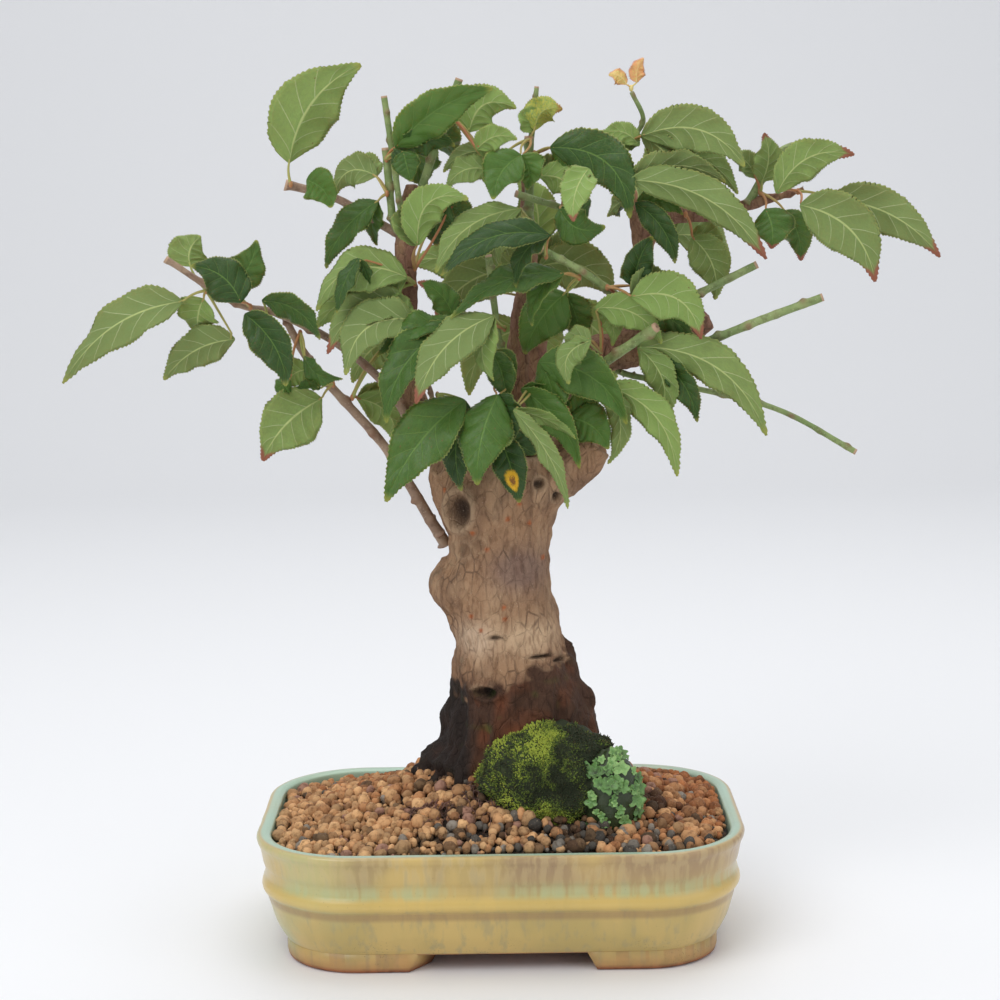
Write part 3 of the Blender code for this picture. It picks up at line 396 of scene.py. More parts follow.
def blade_width(t):
    """Half breadth of a leaf along its midrib: broad low down, drawn out to a long tip."""
    return np.interp(t, [0, 0.06, 0.16, 0.32, 0.5, 0.7, 0.86, 1.0],
                     [0.10, 0.42, 0.80, 1.0, 0.93, 0.60, 0.24, 0.02])


def leaf_track(leaf, shift, t):
    """Midrib places, headings and upper sides: a quadratic bow from foot to tip."""
    a0, u0, d0, a1, u1, d1, bow, _, turn, face = leaf
    foot, tip = lay(a0, u0, d0 + shift * 0.5), lay(a1, u1, d1 + shift)
    chord, toward = tip - foot, -FORWARD
    lift = unit(np.cross(chord, toward))
    if lift[2] < 0:
        lift = -lift
    middle = (foot + tip) / 2 + lift * bow * MM * 2 + toward * np.linalg.norm(chord) * 0.10
    t = t[:, None]
    spine = (1 - t) ** 2 * foot + 2 * t * (1 - t) * middle + t * t * tip
    along = unit(2 * (1 - t) * (middle - foot) + 2 * t * (tip - middle))
    plain = unit(toward - along * (along @ toward)[:, None])
    turn = np.radians(turn)
    upper = (plain * np.cos(turn) + np.cross(along, plain) * np.sin(turn)) * face
    return spine, along, upper, lift, (foot, middle, tip)


def leaf_rings(bud, leaf, shift, thick=BLADE, wider=0.0):
    """Rings of one leaf from its bud: a thin petiole, then the folded blade to its tip."""
    share = np.array([0.0, 0.14, 0.30, 0.50, 0.70, 0.87])
    spine, along, upper, lift, (foot, middle, tip) = leaf_track(leaf, shift, share)
    half = leaf[7] / 2 * MM * LEAF_SCALE * blade_width(share) + wider
    out = np.cross(along, upper) * (half * np.cos(LEAF_FOLD))[:, None]
    raised, flat = upper * (half * np.sin(LEAF_FOLD))[:, None], upper * thick
    blade = np.stack([spine + flat, spine + out + raised, spine - flat, spine - out + raised], 1)
    reach = np.linalg.norm(foot - bud)
    ahead, heading = (foot - bud) / max(reach, 1e-9), unit(middle - foot)
    stem = PETIOLE + wider * 0.6
    lead = []
    for share, blend in ((0.0, 0.0), (0.5, 0.25), (1.0, 0.6)):
        spot = bud + ahead * reach * share + lift * reach * STALK_BOW * share * (1 - share)
        way = unit(ahead * (1 - blend) + heading * blend)
        turned = Vector(heading).rotation_difference(Vector(way))
        top = np.array(turned @ Vector(upper[0]))
        top = unit(top - way * (top @ way))
        side = np.cross(way, top)
        lead.append([spot + top * stem, spot + side * stem, spot - top * stem, spot - side * stem])
    return lead + list(blade[1:]), tip


def tree_of(vertices, faces):
    """The body's faces in a tree that answers overlap and nearest point."""
    return BVHTree.FromPolygons([Vector(v) for v in vertices], faces, epsilon=0.0)


def seat(point, shells):
    """Place of a bud on the nearest wood: its own radius and the clearance off the bark."""
    found = [shell.find_nearest(Vector(point)) for shell in shells]
    near, normal, _, _ = min(found, key=lambda row: row[3])
    return np.array(near + normal * (BUD + GAP * 1.6))


def settled(home, leaf, shells, walls, placed):
    """Smallest depth shift at which a leaf is clear of the wood and of the leaves in place."""
    for step in range(25):
        shift = 4.0 * ((step + 1) // 2) * (1 if step % 2 else -1)
        rings, tip = leaf_rings(home, leaf, shift, *LEAF_CLEAR)
        blade = tree_of(*leaf_shape(rings[3:], tip))
        if any(blade.overlap(wall) for wall in walls):
            continue
        whole = tree_of(*leaf_shape(rings, tip))
        if any(whole.overlap(other) for other in placed):
            continue
        rings, tip = leaf_rings(home, leaf, shift, BLADE, 0.0002)
        bare = tree_of(*leaf_shape(rings, tip))
        if any(bare.overlap(shell) for shell in shells):
            continue
        return shift
    return None


def settle():
    """Depth shifts that let every leaf hang clear of the wood and of the other sprays."""
    shells = [tree_of(*loft(trunk_rings()))]
    walls = [tree_of(*loft(trunk_rings(WALL_CLEAR)))]
    for points in (*LIMBS.values(), *BRANCHES.values()):
        shells.append(tree_of(*loft(tube_rings(points, 0.0, 12, LIMB_SCALE * 1.035))))
        walls.append(tree_of(*loft(tube_rings(points, WALL_CLEAR, 10, LIMB_SCALE))))
    placed, result = [], {}
    for name, (bud, leaves) in SPRAYS.items():
        best = None
        for offset in (0, -7, 7, -14, 14, -21, 21):
            home = seat(lay(bud[0], bud[1], bud[2] + offset), shells)
            rows = [(leaf, settled(home, leaf, shells, walls, placed)) for leaf in leaves]
            count = sum(shift is not None for leaf, shift in rows)
            if best is None or count > best[0]:
                best = (count, home, rows)
            if count == len(leaves):
                break
        count, home, rows = best
        for leaf, shift in rows:
            if shift is not None:
                rings, tip = leaf_rings(home, leaf, shift, *LEAF_CLEAR)
                placed.append(tree_of(*leaf_shape(rings, tip)))
        result[name] = (home, rows)
    return result


# ---- Noise, skins and lines ---------------------------------------------------------

def hashed(index, seed):
    """Even pseudo-random values from whole numbers: the fraction of a large sine."""
    index = np.asarray(index, float)
    return np.abs(np.modf(np.sin(index * 12.9898 + seed * 78.233) * 43758.5453)[0])


def lattice_noise(points, size, seed=0.0):
    """Value noise from -1 to 1: random corners of a cubic lattice joined by smooth steps."""
    place = np.asarray(points) / size
    cell = np.floor(place)
    part = place - cell
    part = part * part * (3 - 2 * part)
    total = np.zeros(len(place))
    for corner in range(8):
        step = np.array([corner & 1, corner >> 1 & 1, corner >> 2 & 1])
        at = cell + step
        key = at[:, 0] * 1.0 + at[:, 1] * 57.31 + at[:, 2] * 113.77
        weight = np.prod(np.where(step == 1, part, 1 - part), axis=1)
        total += weight * hashed(key, seed)
    return total * 2 - 1


def closed_grid(grid):
    """Closed skin over a grid of rings: quads between them and a fan over each end."""
    rows, columns = grid.shape[:2]
    points = np.concatenate([grid.reshape(-1, 3), grid[:1].mean(1), grid[-1:].mean(1)])
    first, last = rows * columns, rows * columns + 1
    ring = np.arange(columns)
    ahead = (ring + 1) % columns
    base = (rows - 1) * columns
    start = np.stack([np.full(columns, first), ahead, ring], -1)
    end = np.stack([np.full(columns, last), base + ring, base + ahead], -1)
    return points, grid_faces(rows, columns), np.concatenate([start, end])


class Skin:
    """Collects closed surfaces and their values, then makes one mesh of them."""

    def __init__(self):
        self.points, self.quads, self.tris, self.values, self.count = [], [], [], {}, 0

    def add(self, points, quads, tris, **values):
        """Adds one surface; each value is one number, or one for each point."""
        self.points.append(points)
        self.quads.append(np.asarray(quads, int).reshape(-1, 4) + self.count)
        self.tris.append(np.asarray(tris, int).reshape(-1, 3) + self.count)
        for name, value in values.items():
            value = np.asarray(value, float)
            shape = (len(points), 3) if value.shape[-1:] == (3,) else (len(points),)
            self.values.setdefault(name, []).append(np.broadcast_to(value, shape))
        self.count += len(points)

    def make(self, name, material, smooth=True):
        """One mesh object of all the surfaces, with their values as attributes."""
        points = np.concatenate(self.points)
        quads, tris = np.concatenate(self.quads), np.concatenate(self.tris)
        mesh = bpy.data.meshes.new(name)
        mesh.vertices.add(len(points))
        mesh.vertices.foreach_set("co", points.astype(np.float32).ravel())
        corners = np.concatenate([quads.ravel(), tris.ravel()]).astype(np.int32)
        mesh.loops.add(len(corners))
        mesh.loops.foreach_set("vertex_index", corners)
        starts = np.concatenate([np.arange(len(quads)) * 4,
                                 len(quads) * 4 + np.arange(len(tris)) * 3]).astype(np.int32)
        mesh.polygons.add(len(starts))
        mesh.polygons.foreach_set("loop_start", starts)
        mesh.update(calc_edges=True)
        mesh.validate()
        for label, parts in self.values.items():
            whole = np.concatenate(parts).astype(np.float32)
            if whole.ndim == 2:
                layer = mesh.attributes.new(label, "FLOAT_COLOR", "POINT")
                whole = np.column_stack([whole, np.ones(len(whole), np.float32)])
                layer.data.foreach_set("color", whole.ravel())
            else:
                layer = mesh.attributes.new(label, "FLOAT", "POINT")
                layer.data.foreach_set("value", whole)
        if smooth:
            mesh.shade_smooth()
        mesh.materials.append(material)
        thing = bpy.data.objects.new(name, mesh)
        bpy.context.scene.collection.objects.link(thing)
        return thing


def place(thing, slot, *nodes):
    """The piece rides the one body and stands for its nodes, which are hidden."""
    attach(thing, "root")
    if nodes:
        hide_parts(*nodes)
    return thing


def eased(points, count):
    """Smooth line through points: a cubic that keeps the slope of each point's neighbours."""
    points = np.asarray(points, float)
    ends = np.vstack([2 * points[0] - points[1], points, 2 * points[-1] - points[-2]])
    at = np.linspace(0, len(points) - 1, count)
    low = np.minimum(at.astype(int), len(points) - 2)
    t = (at - low)[:, None]
    a, b, c, d = ends[low], ends[low + 1], ends[low + 2], ends[low + 3]
    cubic = 2 * b + (c - a) * t + (2 * a - 5 * b + 4 * c - d) * t ** 2
    return 0.5 * (cubic + (3 * b - a - 3 * c + d) * t ** 3)


# ---- Materials ----------------------------------------------------------------------

class Value:
    """A socket that adds, subtracts and multiplies as a number does, by Math nodes."""

    def __init__(self, paint, socket):
        self.paint, self.socket = paint, socket

    def math(self, operation, *others):
        """A Math node on this value and the others."""
        values = dict(enumerate((self, *others)))
        made = self.paint.node("ShaderNodeMath", {"operation": operation}, values)
        return Value(self.paint, made.outputs[0])

    def __add__(self, other):
        return self.math("ADD", other)

    def __sub__(self, other):
        return self.math("SUBTRACT", other)

    def __rsub__(self, other):
        return (self * -1.0) + other

    def __mul__(self, other):
        return self.math("MULTIPLY", other)

    def __abs__(self):
        return self.math("ABSOLUTE")

    __radd__, __rmul__ = __add__, __mul__

    def between(self, low, high):
        """0 below low and 1 above high, smooth in between."""
        values = {0: self, 1: low, 2: high, 3: 0.0, 4: 1.0}
        settings = {"interpolation_type": "SMOOTHSTEP"}
        made = self.paint.node("ShaderNodeMapRange", settings, values)
        return Value(self.paint, made.outputs[0])


class Paint:
    """A material and the few kinds of node its pattern is made of."""

    def __init__(self, name, roughness=0.5, **settings):
        self.material = bpy.data.materials.new(name)
        self.material.use_nodes = True
        self.tree = self.material.node_tree
        self.shader = self.tree.nodes["Principled BSDF"]
        self.set("Roughness", roughness)
        for label, value in settings.items():
            self.set(label.replace("_", " "), value)

    def node(self, kind, settings=None, values=None):
        """Any node: its settings are set first, then its sockets by value or link."""
        made = self.tree.nodes.new(kind)
        for label, value in (settings or {}).items():
            setattr(made, label, value)
        for key, value in (values or {}).items():
            self.feed(made.inputs[key], value)
        return made

    def feed(self, socket, value):
        """Links a value to a socket, or sets the socket."""
        if isinstance(value, Value):
            self.tree.links.new(value.socket, socket)
        else:
            socket.default_value = value

    def set(self, label, value):
        """Feeds one socket of the surface shader."""
        self.feed(self.shader.inputs[label], value)

    def place(self, stretch=(1, 1, 1)):
        """Place on the object, scaled along each axis."""
        made = self.node("ShaderNodeTexCoord")
        turned = self.node("ShaderNodeMapping", None,
                           {"Vector": Value(self, made.outputs["Object"]), "Scale": stretch})
        return Value(self, turned.outputs[0])

    def axis(self, number):
        """One coordinate of the place on the object."""
        made = self.node("ShaderNodeSeparateXYZ", None, {0: self.place()})
        return Value(self, made.outputs[number])

    def stored(self, name, output="Fac"):
        """A value stored on the mesh."""
        made = self.node("ShaderNodeAttribute", {"attribute_name": name})
        return Value(self, made.outputs[output])

    def noise(self, scale, stretch=(1, 1, 1), detail=3.0, where=None):
        """Fractal noise from 0 to 1."""
        where = where or self.place(stretch)
        made = self.node("ShaderNodeTexNoise", None,
                         {"Vector": where, "Scale": scale, "Detail": detail})
        return Value(self, made.outputs[0])

    def cells(self, scale, feature="F1", stretch=(1, 1, 1), where=None):
        """Distance to scattered points, or to the edges between their cells."""
        where = where or self.place(stretch)
        made = self.node("ShaderNodeTexVoronoi", {"feature": feature},
                         {"Vector": where, "Scale": scale})
        return Value(self, made.outputs["Distance"])

    def vector(self, x, y, z=0.0):
        """Three values joined into a place."""
        made = self.node("ShaderNodeCombineXYZ", None, {0: x, 1: y, 2: z})
        return Value(self, made.outputs[0])

    def blend(self, first, second, share, how="MIX"):
        """Colour that goes from the first to the second as share goes from 0 to 1."""
        values = {0: share, 6: full(first), 7: full(second)}
        made = self.node("ShaderNodeMix", {"data_type": "RGBA", "blend_type": how}, values)
        return Value(self, made.outputs[2])

    def finish(self, colour, height, distance, strength=1.0):
        """Sets the colour, raises the surface by the height, and gives the material."""
        self.set("Base Color", colour)
        values = {"Height": height, "Distance": distance, "Strength": strength}
        made = self.node("ShaderNodeBump", None, values)
        self.set("Normal", Value(self, made.outputs[0]))
        return self.material


def full(colour):
    """A colour socket's four numbers, or the link as it is."""
    return colour if isinstance(colour, Value) else (*colour[:3], 1.0)


def glaze_paint(settings):
    """Ochre glaze with vertical runs, a brown break under the rim and turquoise on the rim."""
    p = Paint("pot_glaze", 0.3, Coat_Weight=0.25, Coat_Roughness=0.12)
    x, z = p.axis(0), p.axis(2)
    runs = p.noise(260.0, (1, 1, 0.07), 4.0)
    broad = p.noise(34.0, (1, 1, 0.35), 3.0)
    cloud = p.noise(17.0, (1, 1, 1), 4.0)
    colour = p.blend(settings.ochre, settings.olive, broad.between(0.38, 0.66))
    colour = p.blend(colour, (0.36, 0.30, 0.15), runs.between(0.50, 0.72) * 0.60)
    mint_place = (x * -1.0).between(0.055, 0.115) * cloud.between(0.42, 0.62)
    colour = p.blend(colour, settings.mint, mint_place * 0.75)
    upper = z.between(POT_HEIGHT - 0.030, POT_HEIGHT - 0.006)
    brown = upper * (broad * 0.7 + cloud * 0.6 + x * 1.6).between(0.52, 0.86)
    colour = p.blend(colour, (0.30, 0.185, 0.115), brown * 0.72)
    drips = upper * runs.between(0.42, 0.58)
    colour = p.blend(colour, (0.62, 0.47, 0.22), drips * 0.35)
    belt = z.between(BELT_HEIGHT - 0.003, BELT_HEIGHT) * (1 - z.between(BELT_HEIGHT + 0.003,
                                                                    BELT_HEIGHT + 0.007))
    colour = p.blend(colour, (0.66, 0.46, 0.12), belt * (0.35 + runs * 0.5))
    over = z.between(BELT_HEIGHT + 0.003, BELT_HEIGHT + 0.006)
    over = over * (1 - z.between(BELT_HEIGHT + 0.007, BELT_HEIGHT + 0.015))
    over = over * cloud.between(0.44, 0.60) * runs.between(0.3, 0.6)
    colour = p.blend(colour, settings.mint, over * 0.7)
    under = z.between(BELT_HEIGHT - 0.0085, BELT_HEIGHT - 0.0055)
    under = under * (1 - z.between(BELT_HEIGHT - 0.004, BELT_HEIGHT - 0.002))
    colour = p.blend(colour, (0.31, 0.19, 0.08), under * (0.45 + runs * 0.4))
    rim = p.stored("rim")
    colour = p.blend(colour, settings.rim, rim * (0.55 + cloud * 0.6))
    edge = p.stored("edge")
    colour = p.blend(colour, (0.50, 0.37, 0.17), edge * 0.8)
    specks = 1 - p.cells(900.0).between(0.10, 0.24)
    dirt = specks * p.noise(60.0).between(0.48, 0.60) * (1 - z.between(0.010, 0.024))
    colour = p.blend(colour, (0.03, 0.025, 0.02), dirt * 0.9)
    pins = (1 - p.cells(310.0).between(0.05, 0.10)) * 0.5
    colour = p.blend(colour, (0.10, 0.07, 0.04), pins * cloud)
    bare = p.stored("bare")
    clay = p.blend((0.37, 0.135, 0.055), (0.20, 0.075, 0.035), p.noise(120.0).between(0.4, 0.7))
    colour = p.blend(colour, clay, bare)
    p.set("Roughness", 0.27 + runs * 0.10 + bare * 0.45 + dirt * 0.3)
    p.set("Coat Weight", (1 - bare) * 0.3)
    height = runs * 0.5 + p.noise(45.0) * 0.9 - specks * 0.15
    return p.finish(colour, height, 0.0006, 0.35)


def stone_paint(name, gloss=0.9):
    """Fired clay granules: each keeps its own colour, roughened by pores and dust."""
    p = Paint(name, gloss)
    tint = p.stored("tint", "Color")
    fine, mid = p.noise(1500.0, detail=4.0), p.noise(420.0)
    colour = p.blend(tint, p.blend(tint, (0.30, 0.22, 0.15), 1.0, "MULTIPLY"),
                     mid.between(0.45, 0.75) * 0.75)
    colour = p.blend(colour, (0.62, 0.47, 0.31), fine.between(0.60, 0.74) * 0.35)
    return p.finish(colour, fine * 0.6 + mid, 0.0007, 0.8)


def humus_paint():
    """Fine dark soil: near black, flecked with brown by two sizes of noise."""
    p = Paint("dark_humus", 0.9)
    fine, mid = p.noise(900.0, detail=5.0), p.noise(150.0)
    colour = p.blend((0.022, 0.014, 0.010), (0.10, 0.060, 0.035), fine.between(0.45, 0.65))
    colour = p.blend(colour, (0.19, 0.10, 0.05), mid.between(0.55, 0.7) * 0.6)
    return p.finish(colour, fine + mid, 0.0015, 1.0)


def bark_paint():
    """Bark: the stored colours of its plates and scars, broken up by fibres, flakes and dust."""
    p = Paint("bark", 0.85, Specular_IOR_Level=0.3)
    tint, wet = p.stored("tint", "Color"), p.stored("wet")
    fibre = p.noise(520.0, (1, 1, 0.35), 5.0)
    flake = p.cells(210.0, "DISTANCE_TO_EDGE", (1, 1, 0.5))
    grain = p.noise(1700.0, detail=3.0)
    colour = p.blend(tint, p.blend(tint, (0.38, 0.30, 0.25), 1.0, "MULTIPLY"),
                     fibre.between(0.46, 0.68) * 0.5)
    colour = p.blend(colour, (0.62, 0.48, 0.35), grain.between(0.60, 0.76) * (1 - wet) * 0.45)
    crack = 1 - flake.between(0.0, 0.09)
    colour = p.blend(colour, (0.075, 0.042, 0.028), crack * p.noise(70.0).between(0.52, 0.66) * 0.55)
    lichen = p.cells(170.0).between(0.0, 0.5)
    dots = (1 - lichen) * p.noise(40.0).between(0.58, 0.68)
    colour = p.blend(colour, (0.20, 0.20, 0.13), dots * (1 - wet) * 0.4)
    p.set("Roughness", 0.84 - wet * 0.10 + grain * 0.1)
    return p.finish(colour, fibre + grain * 0.5 - crack * 0.5, 0.0012, 0.85)


def twig_paint(name, first, second, pores):
    """Young bark: streaked along the shoot, dotted with pale pores; its cut ends are corky."""
    p = Paint(name, 0.55)
    streak = p.noise(380.0, detail=4.0)
    cut, knot = p.stored("cut"), p.stored("knot")
    colour = p.blend(first, second, p.noise(70.0).between(0.40, 0.62))
    colour = p.blend(colour, p.blend(colour, (0.5, 0.42, 0.35), 1.0, "MULTIPLY"),
                     streak.between(0.5, 0.68) * 0.6)
    dots = 1 - p.cells(620.0).between(0.13, 0.22)
    colour = p.blend(colour, pores, dots * 0.65)
    colour = p.blend(colour, (0.21, 0.10, 0.055), knot * 0.7)
    colour = p.blend(colour, (0.46, 0.30, 0.19), cut.between(0.35, 0.6))
    colour = p.blend(colour, (0.12, 0.06, 0.035), cut.between(0.85, 1.0))
    return p.finish(colour, streak + dots * 0.6, 0.0003, 0.7)


def leaf_paint(settings):
    """Leaf: glossy green above with sunken veins, pale and matte below with raised veins."""
    p = Paint("leaf", 0.5, Subsurface_Weight=0.06, Subsurface_Scale=0.002, Specular_IOR_Level=0.32)
    across, along, under = p.stored("across"), p.stored("along"), p.stored("under")
    tone, dry = p.stored("tone"), p.stored("dry")
    side = abs(across)
    left = 1 - across.between(-0.01, 0.01)
    step = (along - side * 0.26 + side * side * 0.07) * 6.2 + left * 0.45 + p.stored("sway")
    ray = abs(step.math("FRACT") - 0.5) * 2.0
    blade = (1 - side.between(0.80, 1.0)) * along.between(0.01, 0.06)
    vein = (1 - ray.between(0.02, 0.10)) * blade * (1 - side * 0.55)
    midrib = 1 - side.between(0.015, 0.055)
    flat = p.vector(across * 3.2, along * 9.0, tone * 40.0)
    net = 1 - p.cells(3.2, "DISTANCE_TO_EDGE", where=flat).between(0.0, 0.10)
    patch = p.noise(3.5, where=flat, detail=4.0)
    fine = p.noise(1300.0, detail=3.0)
    top = p.blend(settings.dark_green, settings.mid_green,
                  (tone * 0.9 + patch * 0.5).between(0.25, 1.15))
    top = p.blend(top, (0.17, 0.29, 0.06), (vein + midrib).between(0.2, 1.0) * 0.55)
    top = p.blend(top, (0.10, 0.20, 0.035), net * 0.22)
    low = p.blend(settings.pale_green, (0.225, 0.335, 0.085), (tone + patch).between(0.6, 1.5))
    low = p.blend(low, (0.46, 0.52, 0.27), (vein * 0.75 + net * 0.16).between(0.0, 1.1))
    low = p.blend(low, (0.46, 0.53, 0.20), midrib * 0.9)
    colour = p.blend(top, low, under.between(0.35, 0.65))
    rim = side.between(0.93, 0.995)
    colour = p.blend(colour, (0.44, 0.50, 0.13), rim * 0.75)
    tip = along.between(0.90, 1.0)
    colour = p.blend(colour, (0.42, 0.42, 0.08), tip * 0.7)
    burnt = (along + side * 0.08 + patch * 0.08).between(0.93, 1.0) * dry.between(0.45, 0.55)
    colour = p.blend(colour, (0.30, 0.085, 0.06), burnt * 0.9)
    spots = 1 - p.cells(1.1, where=flat).between(0.05, 0.09)
    colour = p.blend(colour, (0.16, 0.09, 0.03), spots * tone.between(0.4, 0.7) * blade)
    dust = fine.between(0.66, 0.75) * patch.between(0.45, 0.6)
    colour = p.blend(colour, (0.42, 0.48, 0.30), dust * 0.22)
    yellow = dry.between(0.84, 0.88)
    colour = p.blend(colour, (0.56, 0.50, 0.08), yellow * patch.between(0.30, 0.70) * 0.8)
    off, down = (across - 0.15) * 1.1, (along - 0.66) * 3.6
    far = off * off + down * down + patch * 0.35
    colour = p.blend(colour, (0.74, 0.42, 0.02), (1 - far.between(0.35, 0.62)) * p.stored("spot"))
    colour = p.blend(colour, (0.20, 0.065, 0.02), (1 - far.between(0.16, 0.30)) * p.stored("spot"))
    stalk = 1 - along.between(-0.02, 0.0)
    colour = p.blend(colour, p.blend((0.36, 0.42, 0.12), (0.45, 0.17, 0.08), tone), stalk)
    p.set("Roughness", 0.33 + under * 0.30 + patch * 0.10)
    height = net * -0.35 - vein * 0.8 - midrib * 0.9
    height = height * (1 - under * 2.0) + fine * 0.25
    return p.finish(colour, height, 0.00028, 0.7)


def young_leaf_paint():
    """Young leaf: orange to yellow in patches, red at the margin, with pale veins."""
    p = Paint("young_leaf", 0.45, Subsurface_Weight=0.1, Subsurface_Scale=0.002)
    across, along, tone = p.stored("across"), p.stored("along"), p.stored("tone")
    side = abs(across)
    flat = p.vector(across * 3.0, along * 7.0, tone * 30.0)
    patch = p.noise(2.5, where=flat, detail=4.0)
    vein = (1 - side.between(0.05, 0.12)) + abs(((along - side * 0.2) * 7.0).math("FRACT")
                                               - 0.5).between(0.42, 0.48) * 0.5
    colour = p.blend((0.72, 0.34, 0.13), (0.66, 0.56, 0.16), (patch + tone * 0.4).between(0.4, 0.8))
    colour = p.blend(colour, (0.72, 0.22, 0.13), side.between(0.6, 1.0) * 0.6)
    colour = p.blend(colour, (0.80, 0.62, 0.25), vein * 0.5)
    return p.finish(colour, patch - vein * 0.4, 0.0002, 0.6)


def green_paint(name, first, second, third, roughness, scale):
    """Moss and liverwort: their stored shade between three greens, mottled finely; for the moss this
    stored shade holds painted light on its cushions and painted shade in the hollows.
    """
    p = Paint(name, roughness, Subsurface_Weight=0.08, Subsurface_Scale=0.002)
    shade = p.stored("shade")
    mottle = p.noise(scale, detail=4.0)
    colour = p.blend(first, second, (shade + mottle * 0.5).between(0.35, 0.95))
    colour = p.blend(colour, third, (shade + mottle * 0.7).between(1.05, 1.45))
    return p.finish(colour, mottle + p.cells(scale * 2.0) * 0.4, 0.0004, 0.7)


def net_paint():
    """Black plastic of the drain meshes, dulled by a fine grain."""
    p = Paint("drain_net", 0.6)
    grain = p.noise(800.0)
    return p.finish(p.blend((0.012, 0.014, 0.012), (0.05, 0.052, 0.045), grain), grain, 0.0002, 0.5)


# ---- Pot, drain meshes and soil -----------------------------------------------------

def outline(inset, count=POT_COLUMNS):
    """Rounded rectangle inside the rim by inset, in even steps: straight sides, quarter turns."""
    half = np.array([POT_LENGTH, POT_WIDTH]) / 2 - inset
    corner = min(max(POT_CORNER - inset, TIGHTEST), *half * 0.98)
    angle = np.pi / 2 * (np.arange(4)[:, None] + np.arange(15) / 14)
    signs = np.array([(1, 1), (-1, 1), (-1, -1), (1, -1)])[:, None]
    turns = signs * (half - corner) + corner * np.stack([np.cos(angle), np.sin(angle)], -1)
    closed = np.vstack([turns.reshape(-1, 2), turns[0, :1]])
    steps = np.concatenate([[0], np.cumsum(np.linalg.norm(np.diff(closed, axis=0), axis=1))])
    wanted = np.linspace(0, steps[-1], count, endpoint=False)
    return np.column_stack([np.interp(wanted, steps, closed[:, i]) for i in range(2)])


def pot_piece(paint):
    """Wall: the pot's profile carried round a rounded rectangle, rings joined by quads."""
    skin = Skin()
    h, b = POT_HEIGHT, BELT_HEIGHT
    profile = [
        (FOOT_TAPER + 0.004, FLOOR_UNDER), (FOOT_TAPER + 0.0015, FLOOR_UNDER + 0.0003),
        (FOOT_TAPER, FLOOR_UNDER + 0.002), (FOOT_TAPER - 0.002, FLOOR_UNDER + 0.005),
        (FOOT_TAPER - 0.0045, FLOOR_UNDER + 0.010), (0.0076, b - 0.014), (0.0058, b - 0.008),
        (0.0049, b - 0.005), (0.0044, b - 0.003), (0.0030, b - 0.0015), (0.0022, b + 0.0004),
        (0.0024, b + 0.0025), (0.0033, b + 0.0045), (0.0041, b + 0.0065), (0.0040, b + 0.010),
        (0.0030, h - 0.014), (0.0019, h - 0.008), (0.0010, h - 0.0052), (0.0003, h - 0.0038),
        (0.0, h - 0.0022), (0.0004, h - 0.0009), (0.0014, h - 0.0002), (0.0026, h),
        (0.0045, h + 0.0001), (WALL - 0.0018, h - 0.0002), (WALL - 0.0006, h - 0.0008),
        (WALL, h - 0.002), (WALL + 0.0004, h - 0.006), (WALL + 0.0008, h - 0.012),
        (WALL + 0.003, b + 0.004), (WALL + 0.005, b - 0.004), (WALL + 0.011, FLOOR_TOP + 0.003),
        (WALL + 0.015, FLOOR_TOP)]
    line = eased(np.array(profile), POT_ROWS)
    rings = np.stack([np.column_stack([outline(i), np.full(POT_COLUMNS, z)]) for i, z in line])
    sway = lattice_noise(rings.reshape(-1, 3), 0.045, 3.0).reshape(rings.shape[:2])
    fine = lattice_noise(rings.reshape(-1, 3), 0.009, 5.0).reshape(rings.shape[:2])
    away = rings[:, :, :2] / np.linalg.norm(rings[:, :, :2], axis=2)[:, :, None]
    rings[:, :, :2] -= away * np.abs(sway * 0.0006 + fine * 0.00015)[:, :, None]
    flat = rings.reshape(-1, 3)
    inset = np.repeat(line[:, 0], POT_COLUMNS)
    number = np.repeat(np.arange(POT_ROWS) / (POT_ROWS - 1), POT_COLUMNS)
    rim = (number > 0.66) * np.clip((inset - 0.0010) / 0.0012, 0, 1)
    rim = np.where(flat[:, 2] > b + 0.010, rim, 0.0)
    edge = np.exp(-((number - 0.665) / 0.018) ** 2)
    low = np.clip((FLOOR_UNDER + 0.0012 - flat[:, 2]) / 0.0008, 0, 1)
    skin.add(flat, grid_faces(POT_ROWS, POT_COLUMNS), [], rim=rim, edge=edge, bare=low)
    # Floor: each half runs from the wall to its drain hole, through it and back
    for side in (-1, 1):
        angle = np.linspace(0, 2 * np.pi, 97)[:-1]
        hole = np.column_stack([side * DRAIN_OFFSET + DRAIN_HOLE * np.cos(angle),
                                DRAIN_HOLE * np.sin(angle)])
        grids = []
        for z, inset in ((FLOOR_UNDER, FOOT_TAPER + 0.004), (FLOOR_TOP, WALL + 0.015)):
            half_x, half_y = POT_LENGTH / 2 - inset, POT_WIDTH / 2 - inset
            way = unit(hole - [side * DRAIN_OFFSET, 0])
            reach_x = np.where(way[:, 0] * side > 0, half_x - DRAIN_OFFSET, DRAIN_OFFSET)
            reach = np.minimum(reach_x / np.maximum(np.abs(way[:, 0]), 1e-6),
                               half_y / np.maximum(np.abs(way[:, 1]), 1e-6))
            far = [side * DRAIN_OFFSET, 0] + way * reach[:, None]
            corner = max(POT_CORNER - inset, TIGHTEST)
            over = np.maximum(np.abs(far) - [half_x - corner, half_y - corner], 0)
            span = np.linalg.norm(over, axis=1)
            pull = np.minimum(corner / np.maximum(span, 1e-9), 1.0)[:, None]
            far = far - np.sign(far) * over * (1 - pull)
            share = np.linspace(0, 1, 8)[:, None, None]
            grids.append(np.concatenate([far[None] * (1 - share) + hole[None] * share,
                                         np.full((8, 96, 1), z)], axis=2))
        both = np.concatenate([grids[0], grids[1][::-1]])
        skin.add(both.reshape(-1, 3), grid_faces(16, 96)[:, ::-1], [], rim=0.0, edge=0.0, bare=1.0)
    place(skin.make("pot_wall", paint), "pot_glaze", "pot")


